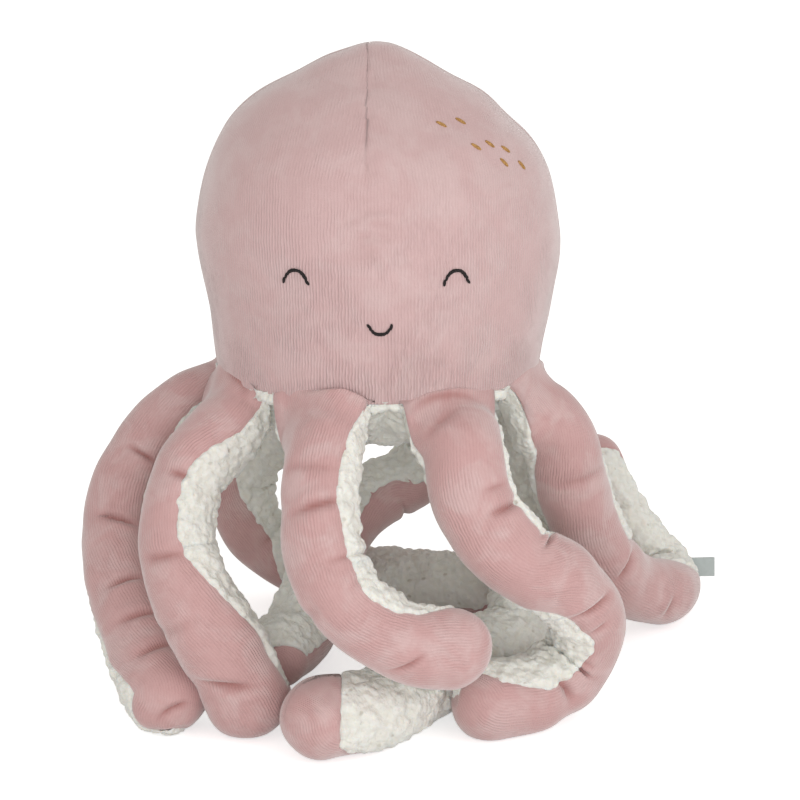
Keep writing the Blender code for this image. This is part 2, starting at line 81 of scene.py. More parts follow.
AXIS = np.array([HEAD_SIDE_OFFSET, HEAD_BACK_OFFSET, 0.0])
UP = np.array([0.0, 0.0, 1.0])
RIM_RADIUS = RIM_SHARE * HEAD_RADIUS
BASE_TOP = RIM_HEIGHT - SEAM_GAP - FLEECE_THICKNESS / math.sqrt(2)

# Each arm: its place round the rim, the share of its length at the bend, the
# share of its size at the tip, and its middle line. A row of the line has two
# shares of the reach, one of the drop, and the way the velour faces.
ARMS = {
    "front_left": (7.5, 0.55, 1.02, (
        (-0.17, -0.58, 0.94, -0.7, -0.4, 0.6), (-0.18, -0.70, 0.77, -0.8, -0.5, 0.3),
        (-0.16, -0.78, 0.58, -0.7, -0.7, 0.1), (-0.07, -0.84, 0.44, -0.5, -0.8, -0.4),
        (0.08, -0.84, 0.33, -0.1, -0.9, -0.4), (0.25, -0.82, 0.29, 0.1, -1.0, -0.2),
    )),
    "left_front": (6.5, 0.52, 1.0, (
        (-0.51, -0.33, 0.92, -0.6, -0.2, 0.8), (-0.62, -0.45, 0.78, -0.9, 0.0, 0.4),
        (-0.65, -0.55, 0.58, -1.0, -0.3, 0.0), (-0.59, -0.61, 0.38, -0.6, -0.8, -0.1),
        (-0.48, -0.62, 0.17, -0.2, -1.0, -0.1), (-0.42, -0.60, 0.0, 0.0, -1.0, -0.1),
    )),
    "left_rear": (5.5, 0.52, 1.0, (
        (-0.69, 0.09, 0.87, -0.6, -0.1, 0.8), (-0.83, 0.04, 0.69, -0.7, -0.4, 0.6),
        (-0.90, -0.08, 0.48, -0.6, -0.6, 0.5), (-0.86, -0.25, 0.27, -0.2, -0.7, 0.7),
        (-0.78, -0.42, 0.12, 0.1, -0.6, 0.8), (-0.69, -0.57, 0.0, 0.5, -0.3, 0.8),
    )),
    "rear_left": (4.5, 0.45, 0.98, (
        (-0.37, 0.58, 0.69, -0.4, 0.8, 0.5), (-0.52, 0.64, 0.43, -1.0, 0.0, 0.2),
        (-0.47, 0.64, 0.18, -0.7, -0.5, -0.4), (-0.32, 0.62, 0.05, -0.4, -0.3, -0.8),
        (-0.13, 0.57, 0.0, -0.2, -0.4, -0.9), (0.08, 0.53, 0.0, 0.0, -0.3, -1.0),
        (0.30, 0.50, 0.0, -0.1, -0.4, -0.9), (0.53, 0.45, 0.0, -0.1, -0.5, -0.9),
    )),
    "rear_right": (3.5, 0.50, 0.98, (
        (0.23, 0.58, 0.62, 0.8, 0.6, 0.1), (0.14, 0.60, 0.46, 0.6, 0.0, -0.8),
        (0.0, 0.56, 0.38, 0.6, -0.4, -0.7), (-0.14, 0.44, 0.28, 0.7, 0.0, -0.7),
        (-0.22, 0.24, 0.13, 0.3, 0.4, -0.9), (-0.28, 0.02, 0.01, 0.2, 0.2, -1.0),
        (-0.36, -0.22, 0.0, 0.2, 0.0, -1.0),
    )),
    "right_rear": (2.5, 0.78, 1.10, (
        (0.50, 0.32, 0.77, 0.7, 0.6, 0.3), (0.54, 0.32, 0.49, 0.9, 0.5, 0.0),
        (0.55, 0.17, 0.21, 0.6, 0.6, -0.6), (0.49, -0.06, 0.03, -0.4, 0.6, -0.7),
        (0.36, -0.19, 0.0, -0.6, 0.6, -0.5), (0.24, -0.33, 0.0, -0.5, 0.4, -0.8),
        (0.13, -0.50, 0.0, -0.3, 0.2, -0.9), (0.01, -0.68, 0.0, -0.1, 0.1, -1.0),
        (-0.17, -0.79, 0.01, 0.1, -0.2, -1.0),
    )),
    "right_front": (1.5, 0.43, 0.98, (
        (0.60, -0.12, 0.85, 0.5, -0.8, 0.3), (0.67, -0.06, 0.62, 0.1, -1.0, 0.1),
        (0.75, 0.06, 0.38, -0.2, -1.0, 0.0), (0.88, 0.22, 0.13, -0.1, -1.0, -0.2),
        (1.05, 0.40, 0.01, 0.2, -0.6, -0.8), (1.07, 0.62, 0.01, 0.2, 0.3, -0.9),
        (0.92, 0.70, 0.20, 0.2, 1.0, -0.2), (0.81, 0.72, 0.45, 0.2, 1.0, 0.0),
    )),
    "front_right": (0.5, 0.52, 1.02, (
        (0.27, -0.58, 0.94, -0.1, -0.7, 0.7), (0.31, -0.66, 0.77, -0.2, -1.0, 0.2),
        (0.43, -0.68, 0.58, 0.0, -1.0, -0.2), (0.60, -0.60, 0.44, 0.8, -0.5, 0.4),
        (0.70, -0.50, 0.26, 1.0, -0.1, 0.1), (0.66, -0.46, 0.08, 0.8, -0.2, -0.6),
        (0.53, -0.54, 0.01, 0.4, -0.3, -0.9), (0.37, -0.62, 0.0, 0.3, -0.5, -0.8),
    )),
}

# Pinched folds that the stuffing leaves in the velour: share of the arm's
# length, turn round the section in degrees (0 and 180 are the seams, 90 the
# crown), half length in degrees, depth and width in mm, and slant in mm.
ARM_FOLDS = {
    "front_left": ((0.335, 143, 38, 1.4, 1.4, -1.6), (0.23, 128, 40, 0.6, 1.6, 0.4), (0.853, 97, 16, 1.2, 1.3, 2.8),
                   (0.60, 60, 40, 0.5, 1.8, 0.0), (0.04, 118, 34, 1.3, 1.3, 0.8)),
    "left_front": ((0.05, 112, 26, 2.3, 1.3, 3.0), (0.33, 166, 22, 1.4, 1.3, 0.0), (0.535, 140, 32, 1.1, 1.5, 0.4),
                   (0.89, 87, 28, 1.8, 1.7, 2.9), (0.70, 70, 40, 0.6, 1.8, 0.0)),
    "left_rear": ((0.332, 150, 25, 1.4, 1.3, 0.0), (0.53, 131, 28, 1.7, 1.4, 1.5), (0.707, 103, 28, 1.5, 1.4, -0.7),
                  (1.09, 45, 40, 1.3, 1.3, 0.0), (0.82, 95, 30, 1.2, 1.6, 0.5), (0.92, 80, 30, 1.2, 1.6, -0.5)),
    "rear_left": ((0.35, 90, 40, 1.0, 1.6, 0.5),),
    "rear_right": ((0.40, 90, 40, 1.0, 1.6, -0.5),),
    "right_rear": ((0.30, 100, 40, 1.0, 1.6, 0.5),),
    "right_front": ((0.41, 137, 24, 1.8, 1.5, -1.5), (0.585, 120, 18, 1.0, 1.4, 0.0), (0.17, 100, 45, 0.6, 1.8, 1.0)),
    "front_right": ((0.265, 150, 32, 1.5, 1.4, 0.8), (0.212, 138, 18, 0.7, 1.3, 0.0), (0.405, 164, 16, 1.8, 1.4, 2.3),
                    (0.554, 47, 30, 1.6, 1.4, 2.6), (0.605, 27, 14, 0.9, 1.2, 0.0), (0.857, 18, 24, 2.0, 1.6, -1.2),
                    (0.045, 82, 42, 1.1, 1.3, 0.6), (0.085, 70, 30, 0.7, 1.5, -0.8)),
}

# Where the velour wraps past the side seams and leaves no fleece: share of the
# run with the tip, and the degrees gained at each side seam.
ROUND_TIP = ((1.0, 0, 0), (1.06, 60, 60))
ARM_WRAPS = {
    "front_left": ((0.76, 0, 0), (0.93, 0, 20), (1.0, 10, 40), (1.05, 60, 80)),
    "left_front": ROUND_TIP,
    "left_rear": ROUND_TIP,
    "rear_left": ((0.48, 0, 0), (0.56, 30, -50), (0.92, 30, -50), (1.0, 20, 0), (1.06, 60, 60)),
    "rear_right": ROUND_TIP,
    "right_rear": ((0.70, 0, 0), (0.79, -50, 30), (0.92, -50, 30), (0.955, -50, 70), (0.985, -45, 130),
                   (1.01, -25, 180), (1.03, 2, 180)),
    "right_front": ((0.38, 0, 0), (0.43, 50, 50), (0.60, 75, 75), (0.66, 40, 40), (0.72, 0, 0), (1.0, 0, 0),
                    (1.03, 45, 45), (1.06, 88, 88)),
    "front_right": ((0.90, 0, 0), (1.0, 15, 0), (1.05, 60, 60)),
}

# Fuller stretches of an arm: share of its length, and mm added to its radius.
ARM_FULLNESS = {
    "left_front": ((0.55, 0.0), (0.80, 1.5), (1.0, 2.2)),
    "left_rear": ((0.60, 0.0), (0.80, 0.8), (1.0, 2.0)),
    "rear_left": ((0.50, 0.0), (0.62, 2.4), (0.76, 0.4), (1.0, 0.0)),
}

# Half widths of the head, as shares: of its height, and of its radius left and right.
HEAD_SHARES = (
    (1.000, 0.012, 0.012), (0.993, 0.11, 0.10), (0.968, 0.27, 0.235),
    (0.922, 0.435, 0.385), (0.869, 0.620, 0.530), (0.803, 0.760, 0.672),
    (0.734, 0.855, 0.815), (0.650, 0.925, 0.910), (0.567, 0.968, 0.955),
    (0.457, 1.000, 0.990), (0.400, 1.000, 0.998), (0.327, 0.982, 0.990),
    (0.176, 0.932, 0.950), (0.070, 0.910, 0.918), (0.000, 0.900, 0.900),
)
DART_OFFSET = -0.0026
DART_END = 0.182

# Small puckers under the dart: offset, height, half length, depth, width and
# rise, all in mm.
DART_PUCKERS = (
    (-1.5, 173.0, 5.5, 0.60, 1.0, 0.6),
    (-1.5, 165.5, 6.0, 0.65, 1.1, -0.8),
    (-3.5, 159.0, 4.5, 0.60, 1.0, 0.5),
    (1.5, 169.5, 4.0, 0.45, 1.0, -0.5),
    (-7.5, 170.0, 3.5, 0.45, 1.0, 0.9),
    (-2.0, 162.0, 3.0, -0.45, 1.6, 0.0),
)

# Seed stitches on the brow: across and height in mm, and lean in degrees.
SEED_STITCHES = (
    (20.7, 197.2, -44), (26.9, 197.6, -52), (31.7, 190.4, -46), (36.2, 190.6, -50),
    (41.4, 188.4, -46), (40.8, 184.8, -56), (46.7, 183.0, -60),
)
SEED_LENGTH = 3.9 * MM
SEED_THICKNESS = 1.15 * MM
ARC_SHORTER = 1.6 * MM  # an arc's middle line, against its whole width
STITCH_LEAN = 0.28

# Soft detail of the forms.
ROOT_ROWS = 12 * MM  # the first stretch of an arm, with closer rows
ROOT_EASE = 11 * MM  # where the sewn root fades into the round arm
BEND_LIMIT = 0.80  # how near the skin comes to the middle of a bend
WIDEST_FOLDED_BEND = 34 * MM
FLOOR_SOFT = 1.2 * MM
SUNK_END = 4.5 * MM  # how deep the boucle sinks where the velour closes over it
TUCK_ROWS = 6
LID_ROWS = 3
BASE_DROOP = 6 * MM
UPPER_BLEND = 14 * MM
LOWER_BLEND = 10 * MM
ARM_FILL = 0.8
HEAD_FILL = 0.9
BASE_FILL = 0.6
WELD = 2e-6
FORM_SHARP = 75
RIBBON_SHARP = 50

# Cloth textures, and the height of their relief.
RIB_PITCH = 1.05 * MM
VELOUR_RELIEF = 0.40 * MM
BOUCLE_RELIEF = 0.6 * MM

# Light and camera.
FLOOR_GLOW = 0.56
ROOM_LIGHT = 0.68
LAMP_TARGET = (0, 0, 0.1)
CAMERA_LIFT = 15
CAMERA_TARGET = (-0.0051, 0.0063, 0.097)
CAMERA_DISTANCE = 0.766

# Steps between the rows and columns of a cloth.
VELOUR_PITCH = 0.9 * MM
BOUCLE_PITCH = 0.60 * MM
HEAD_PITCH = 0.95 * MM


# ---------------------------------------------------------------- noise for the cloths
def hashed(cell, salt):
    """One even number from 0 to 1 for each whole-number cell."""
    n = cell.astype(np.int64).astype(np.uint64)
    mix = n[..., 0] * np.uint64(73856093) ^ n[..., 1] * np.uint64(19349663) ^ n[..., 2] * np.uint64(83492791)
    mix = mix ^ np.uint64(salt * 2654435761 + 97)
    for _ in range(2):
        mix = (mix ^ (mix >> np.uint64(31))) * np.uint64(0x9E3779B97F4A7C15)
        mix = mix ^ (mix >> np.uint64(29))
    return (mix >> np.uint64(11)).astype(np.float64) / float(1 << 53)


def lumps(points, size, salt):
    """Smooth uneven swelling, about -1 to 1, with swells of one size."""
    place = points / size
    base = np.floor(place)
    t = place - base
    t = t * t * t * (t * (t * 6 - 15) + 10)
    total = np.zeros(points.shape[:-1])
    for corner in range(8):
        step = np.array([corner & 1, corner >> 1 & 1, corner >> 2 & 1])
        weight = np.prod(np.where(step == 1, t, 1 - t), axis=-1)
        total += weight * hashed(base + step, salt)
    return total * 2 - 1


def tufts(points, size, salt):
    """Distance to the nearest tuft."""
    place = points / size
    base = np.floor(place)
    nearest = np.full(points.shape[:-1], np.inf)
    for step in np.ndindex(3, 3, 3):
        cell = base + np.array(step) - 1
        seed = np.stack([hashed(cell, salt + k) for k in range(3)], axis=-1)
        nearest = np.minimum(nearest, np.linalg.norm(cell + 0.1 + 0.8 * seed - place, axis=-1))
    return nearest * size


def line_lumps(values, size, salt):
    """Uneven swelling along one measure only."""
    return lumps(np.stack([values, 0 * values, 0 * values], -1), size, salt)


def smooth(x, low, high):
    """A soft step from 0 at low to 1 at high."""
    t = np.clip((x - low) / (high - low), 0, 1)
    return t * t * (3 - 2 * t)


def bell(x, size):
    """1 in the middle, and softly down to nothing beyond the size."""
    return np.exp(-(x / size) ** 2)


def unit(v):
    return v / np.maximum(np.linalg.norm(v, axis=-1, keepdims=True), 1e-12)


# ---------------------------------------------------------------- mesh making
def select_only(obj):
    """Leave one object selected and active, or none."""
    if bpy.context.mode != "OBJECT":
        bpy.ops.object.mode_set(mode="OBJECT")
    bpy.ops.object.select_all(action="DESELECT")
    if obj:
        obj.select_set(True)
        bpy.context.view_layer.objects.active = obj


def places(mesh):
    """The mesh's points, one row each."""
    found = np.empty(len(mesh.vertices) * 3)
    mesh.vertices.foreach_get("co", found)
    return found.reshape(-1, 3)


def grid_object(name, points, uvs):
    """A grid with given points and UVs, and the row and column of each vertex."""
    rows, cols = points.shape[:2]
    select_only(None)
    bpy.ops.mesh.primitive_grid_add(x_subdivisions=cols - 1, y_subdivisions=rows - 1, size=2.0)
    obj = bpy.context.object
    mesh = obj.data
    obj.name = name
    mesh.name = name
    share = (places(mesh) + 1) / 2
    col = np.rint(share[:, 0] * (cols - 1)).astype(int)
    row = np.rint(share[:, 1] * (rows - 1)).astype(int)
    mesh.vertices.foreach_set("co", points[row, col].ravel())
    corner = np.empty(len(mesh.loops), np.int32)
    mesh.loops.foreach_get("vertex_index", corner)
    mesh.uv_layers.active.data.foreach_set("uv", uvs[row, col][corner].ravel())
    mesh.update()
    return obj, row, col


def finish_mesh(obj, material, sharp, closed=False):
    """Turn the faces outward, shade them smooth up to an angle, and give the material.
    A closed form is first welded, and its ends are filled."""
    select_only(obj)
    bpy.ops.object.mode_set(mode="EDIT")
    bpy.ops.mesh.select_all(action="SELECT")
    if closed:
        bpy.ops.mesh.remove_doubles(threshold=WELD)
        bpy.ops.mesh.select_all(action="SELECT")
        bpy.ops.mesh.fill_holes(sides=0)
        bpy.ops.mesh.select_all(action="SELECT")
    bpy.ops.mesh.normals_make_consistent(inside=False)
    bpy.ops.object.mode_set(mode="OBJECT")
    obj.data.shade_smooth()
    obj.data.set_sharp_from_angle(angle=math.radians(sharp))
    obj.data.materials.clear()
    obj.data.materials.append(material)


def stuffed_form(name, outer, uv, shade_marks, material, wall=6):
    """A closed stuffed form: a shaped outer sheet whose two long edges are
    joined by a flat inner wall, with its ends filled."""
    steps = np.linspace(0, 1, wall + 2)[1:-1, None]
    back = outer[:, -1:] * (1 - steps) + outer[:, :1] * steps
    ring = np.concatenate([outer, back, outer[:, :1]], axis=1)
    uvs = np.concatenate([uv, np.repeat(uv[:, -1:], wall + 1, axis=1)], axis=1)
    obj, row, col = grid_object(name, ring, uvs)
    # each mark of painted shade is kept on the points for the material
    for shade_mark, values in shade_marks.items():
        whole = np.pad(values, ((0, 0), (0, wall + 1)))
        obj.data.attributes.new(shade_mark, "FLOAT", "POINT").data.foreach_set("value", whole[row, col])
    finish_mesh(obj, material, FORM_SHARP, closed=True)
    return obj


def stands_for(form, slot, fill, *nodes):
    """Hide the solids that a stuffed form stands for."""
    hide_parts(*nodes)


def grid_normals(points, centre):
    """Outward directions over a sheet of points."""
    out = unit(np.cross(np.gradient(points, axis=0), np.gradient(points, axis=1)))
    side = np.sum(out * (points - centre), axis=-1)
    return out * np.where(side.mean() < 0, -1.0, 1.0)


# ---------------------------------------------------------------- shader helpers
class Wire:
    """An output of a shader node. Sums, differences and products make math nodes."""

    def __init__(self, tree, made, output=0):
        self.tree = tree
        self.socket = made.outputs[output]

    def __add__(self, other):
        return maths(self.tree, "ADD", self, other)

    def __sub__(self, other):
        return maths(self.tree, "SUBTRACT", self, other)

    def __rsub__(self, other):
        return maths(self.tree, "SUBTRACT", other, self)

    def __mul__(self, other):
        return maths(self.tree, "MULTIPLY", self, other)


def fill_inputs(tree, made, inputs):
    """Give a node's inputs plain values or wires."""
    for key, value in inputs.items():
        if isinstance(value, Wire):
            tree.links.new(value.socket, made.inputs[key])
        else:
            made.inputs[key].default_value = value


def add_node(tree, kind, inputs, **settings):
    made = tree.nodes.new(kind)
    for key, value in settings.items():
        setattr(made, key, value)
    fill_inputs(tree, made, inputs)
    return made


def maths(tree, operation, a, b=0.0, clamp=False):
    return Wire(tree, add_node(tree, "ShaderNodeMath", {0: a, 1: b}, operation=operation, use_clamp=clamp))


def mixed(tree, factor, a, b):
    """A mix of two colours."""
    return Wire(tree, add_node(tree, "ShaderNodeMix", {0: factor, 6: a, 7: b}, data_type="RGBA"), 2)


def between(value, low, high, to_low=0.0, to_high=1.0):
    """A soft step from one value to another, as the wire goes from low to high."""
    inputs = {"Value": value, "From Min": low, "From Max": high, "To Min": to_low, "To Max": to_high}
    made = add_node(value.tree, "ShaderNodeMapRange", inputs, interpolation_type="SMOOTHSTEP")
    return Wire(value.tree, made, "Result")


def noise(place, size, detail=2.0, roughness=0.5, distortion=0.0, output="Fac"):
    inputs = {"Vector": place, "Scale": 1 / size, "Detail": detail, "Roughness": roughness, "Distortion": distortion}
    return Wire(place.tree, add_node(place.tree, "ShaderNodeTexNoise", inputs), output)


def wave(value, length):
    """A cosine from -1 to 1 with a wave length."""
    return maths(value.tree, "COSINE", value * (2 * math.pi / length))


def coordinate(tree, kind, axis=None):
    """Object or UV coordinates, or one axis of them."""
    place = Wire(tree, tree.nodes.new("ShaderNodeTexCoord"), kind)
    if axis is None:
        return place
    return Wire(tree, add_node(tree, "ShaderNodeSeparateXYZ", {0: place}), axis)


def attribute(tree, name):
    return Wire(tree, add_node(tree, "ShaderNodeAttribute", {}, attribute_name=name), "Fac")


def new_group(name, colours, numbers=()):
    """A shared group that gives a colour, a height and a roughness."""
    tree = bpy.data.node_groups.new(name, "ShaderNodeTree")
    for label in colours:
        tree.interface.new_socket(label, in_out="INPUT", socket_type="NodeSocketColor")
    for label in numbers:
        tree.interface.new_socket(label, in_out="INPUT", socket_type="NodeSocketFloat")
    tree.interface.new_socket("Color", in_out="OUTPUT", socket_type="NodeSocketColor")
    for label in ("Height", "Roughness"):
        tree.interface.new_socket(label, in_out="OUTPUT", socket_type="NodeSocketFloat")
    group_in = tree.nodes.new("NodeGroupInput")
    given = {label: Wire(tree, group_in, label) for label in (*colours, *numbers)}
    return tree, given, tree.nodes.new("NodeGroupOutput")


def velour_nap():
    """The colour and the height of ribbed velour: fine wales, brushed pile with painted pale sheen
    patches, and painted shade, darker and redder, in the folds and seams. The ribs are weaker up the head."""
    tree, given, out = new_group("velour_nap", ("Pile", "Deep_and_fold_shade", "Brushed_sheen"), ("Rib", "Sheen_patch"))
    place = coordinate(tree, "Object")
    flat = coordinate(tree, "UV")
    sway = (noise(place, 4.5 * MM) - 0.5) * (1.1 * MM)
    wale = wave(coordinate(tree, "UV", "X") + sway, RIB_PITCH) * 0.5
    level = coordinate(tree, "Object", "Z")
    wale = wale * (between(level, RIM_HEIGHT + 3 * MM, RIM_HEIGHT + 34 * MM, 1.5, 1.0)
                   * between(level, RIM_HEIGHT + 42 * MM, RIM_HEIGHT + 80 * MM, 1.0, 0.45))
    fibres = (1 / (1.1 * MM), 1 / (5 * MM), 1)
    stretched = add_node(tree, "ShaderNodeVectorMath", {0: flat, 1: fibres}, operation="MULTIPLY")
    streak = noise(Wire(tree, stretched), 1.0, 2.0, 0.6)
    clear = between(noise(place, 14 * MM), 0.36, 0.62, 0.45, 1.0) * between(streak, 0.25, 0.55, 0.3)
    ribs = wale * clear * given["Rib"]
    pile = noise(place, 0.5 * MM, 3.0, 0.65)
    brushed_sheen_patches = between(noise(place, 13 * MM, 3.0, 0.55, 0.6), 0.42, 0.66)
    blotch = between(noise(place, 5 * MM, 3.0, 0.6), 0.35, 0.7)
    # the pile is brushed in patches, and these patches are painted paler as sheen
    colour = mixed(tree, brushed_sheen_patches * given["Sheen_patch"], given["Pile"], given["Brushed_sheen"])
    dim = blotch * 0.06 + (0.66 - ribs) * 0.29 + streak * 0.10 + pile * 0.18
    colour = mixed(tree, maths(tree, "SUBTRACT", dim, 0.22, clamp=True), colour, given["Deep_and_fold_shade"])
    # painted shade: the fold mark darkens and reddens the folds, seams and tucked edges
    folded = maths(tree, "MULTIPLY", attribute(tree, "fold"), 0.9, clamp=True)
    fill_inputs(tree, out, {
        "Color": mixed(tree, folded, colour, given["Deep_and_fold_shade"]),
        "Height": ribs * 0.6 + streak * 0.2 + pile * 0.5,
        "Roughness": between(brushed_sheen_patches, 0, 1, 0.95, 0.8),
    })
    return tree


def boucle_curl():
    """The colour and height of boucle fleece: curled loops, with painted shade between the curls, in the valleys and in
    the sunk knit holes.
    """
    tree, given, out = new_group("boucle_curl", ("Loops", "Shaded_valley", "Hole_shade"))
    place = coordinate(tree, "Object")
    warp = {0: noise(place, 2.2 * MM, output="Color"), 1: (1.5 * MM,) * 3, 2: place}
    moved = Wire(tree, add_node(tree, "ShaderNodeVectorMath", warp, operation="MULTIPLY_ADD"))
    curls = {"Vector": moved, "Scale": 1 / (1.7 * MM), "Smoothness": 0.5}
    loops = Wire(tree, add_node(tree, "ShaderNodeTexVoronoi", curls, feature="SMOOTH_F1"), "Distance")
    holes = {"Vector": moved, "Scale": 1 / (4.2 * MM)}
    knit = Wire(tree, add_node(tree, "ShaderNodeTexVoronoi", holes, feature="F1"), "Distance")
    # painted shade in the sunk knit holes
    dots = (1.0 - between(knit, 0.06, 0.24)) * between(noise(place, 6 * MM), 0.42, 0.62)
    fine = noise(place, 0.6 * MM, 3.0, 0.6)
    # painted shade between the tufts and the curls, with some uneven tone
    shade = attribute(tree, "valley_shade") * 0.30 + between(loops, 0.25, 0.85) * 0.14
    shade = maths(tree, "ADD", shade, noise(place, 7 * MM, 3.0) * 0.10, clamp=True)
    fill_inputs(tree, out, {
        "Color": mixed(tree, dots * 0.48, mixed(tree, shade, given["Loops"], given["Shaded_valley"]), given["Hole_shade"]),
        "Height": (1.0 - loops) * 0.8 + fine * 0.35 - dots * 0.5,
        "Roughness": between(fine, 0, 1, 0.9, 1.0),
    })
    return tree


def new_material(name):
    material = bpy.data.materials.new(name)
    material.use_nodes = True
    return material, material.node_tree, material.node_tree.nodes["Principled BSDF"]


def bump(tree, height, distance):
    made = add_node(tree, "ShaderNodeBump", {"Height": height, "Strength": 1.0, "Distance": distance})
    return Wire(tree, made, "Normal")


def cloth_material(name, group, values, relief, sheen, sheen_roughness, sheen_tint, rim_sheen_colour, soak):
    """A cloth whose colour and height come from a shared group, with a painted pale sheen at its edges as they turn
    from the camera.
    """
    material, tree, shader = new_material(name)
    given = {key: (*value, 1) if isinstance(value, tuple) else value for key, value in values.items()}
    made = add_node(tree, "ShaderNodeGroup", {}, node_tree=group)
    fill_inputs(tree, made, given)
    # painted sheen: the colour goes paler where the cloth turns away from the camera
    edge = Wire(tree, add_node(tree, "ShaderNodeLayerWeight", {"Blend": 0.35}), "Facing")
    fill_inputs(tree, shader, {
        "Base Color": mixed(tree, between(edge, 0.35, 1.0, 0.0, 0.62), Wire(tree, made, "Color"), (*rim_sheen_colour, 1)),
        "Roughness": Wire(tree, made, "Roughness"),
        "Normal": bump(tree, Wire(tree, made, "Height"), relief),
        "Specular IOR Level": 0.12,
        "Subsurface Weight": soak,
        "Subsurface Radius": (1.0, 0.75, 0.55),
        "Subsurface Scale": 2.5 * MM,
        "Sheen Weight": sheen,
        "Sheen Roughness": sheen_roughness,
        "Sheen Tint": (*sheen_tint, 1),
    })
    return material


def thread_material(name, colour, dark, roughness):
    """Twisted thread: fine uneven strands."""
    material, tree, shader = new_material(name)
    strands = noise(coordinate(tree, "Object"), 0.35 * MM, 2.0, 0.6, 0.4)
    fill_inputs(tree, shader, {
        "Base Color": mixed(tree, between(strands, 0.35, 0.65), (*dark, 1), (*colour, 1)),
        "Roughness": between(strands, 0, 1, roughness - 0.1, roughness + 0.1),
        "Normal": bump(tree, strands, 0.15 * MM),
        "Specular IOR Level": 0.2,
    })
    return material


def ribbon_material():
    """Grosgrain ribbon: fine cross ribs on fine lengthwise threads."""
    material, tree, shader = new_material("ribbon_grosgrain")
    ribs = wave(coordinate(tree, "UV", "Y"), 0.45 * MM) * 0.5 + 0.5
    warp = wave(coordinate(tree, "UV", "X"), 0.3 * MM) * 0.5 + 0.5
    dust = noise(coordinate(tree, "Object"), 1.2 * MM, 3.0)
    fill_inputs(tree, shader, {
        "Base Color": mixed(tree, ribs * 0.5 + dust * 0.5, (0.33, 0.37, 0.36, 1), (0.47, 0.51, 0.50, 1)),
        "Roughness": between(dust, 0, 1, 0.55, 0.75),
        "Normal": bump(tree, ribs + warp * 0.3, 0.08 * MM),
        "Sheen Weight": 0.2,
    })
    return material


NAP = velour_nap()
CURL = boucle_curl()
# The deep colour is the pile's darker tone and the painted shade of the folds. The brushed colour and the last pale
# colour are painted sheen.
HEAD_VELOUR = cloth_material(
    "head_velour", NAP, {"Pile": (0.575, 0.400, 0.395), "Deep_and_fold_shade": (0.36, 0.19, 0.178), "Brushed_sheen": (0.63, 0.50, 0.49),
                         "Rib": 1.0, "Sheen_patch": 0.34},
    VELOUR_RELIEF, 0.45, 0.45, (1.0, 0.97, 0.96), (0.84, 0.79, 0.78), 0.0)
ARM_VELOUR = cloth_material(
    "arm_velour", NAP, {"Pile": (0.56, 0.350, 0.342), "Deep_and_fold_shade": (0.33, 0.140, 0.128), "Brushed_sheen": (0.63, 0.475, 0.465),
                        "Rib": 0.52, "Sheen_patch": 0.60},
    VELOUR_RELIEF, 0.45, 0.45, (1.0, 0.96, 0.95), (0.78, 0.72, 0.71), 0.0)
# The valley and hole colours are painted shade, and the last pale colour is painted sheen.
BOUCLE = cloth_material(
    "boucle_fleece", CURL, {"Loops": (0.755, 0.755, 0.715), "Shaded_valley": (0.64, 0.60, 0.52), "Hole_shade": (0.38, 0.32, 0.23)},
    BOUCLE_RELIEF, 0.2, 0.5, (1.0, 1.0, 0.98), (0.78, 0.78, 0.75), 0.3)
CHARCOAL = thread_material("charcoal_thread", (0.024, 0.019, 0.018), (0.004, 0.003, 0.003), 0.7)
GOLD = thread_material("gold_thread", (0.50, 0.28, 0.09), (0.26, 0.13, 0.04), 0.5)
RIBBON = ribbon_material()


# ---------------------------------------------------------------- the arms
def curve_through(rows, samples):
    """A smooth curve through the rows, with the same number of samples between each two."""
    t = np.arange(samples)[:, None] / samples
    pieces = []
    for a, b, c, d in zip(rows, rows[1:], rows[2:], rows[3:]):
        pieces.append((b * 2 + (c - a) * t + (a * 2 - b * 5 + c * 4 - d) * t**2 + (b * 3 - a - c * 3 + d) * t**3) / 2)
    return np.concatenate(pieces + [rows[-2][None]])


def run_along(line):
    """Distance along a line of points, at each point."""
    return np.concatenate([[0], np.cumsum(np.linalg.norm(np.diff(line, axis=0), axis=1))])


def columns_at(where, known, rows):
    """Each column of the rows, read between its known places."""
    return np.stack([np.interp(where, known, rows[:, k]) for k in range(rows.shape[1])], axis=-1)


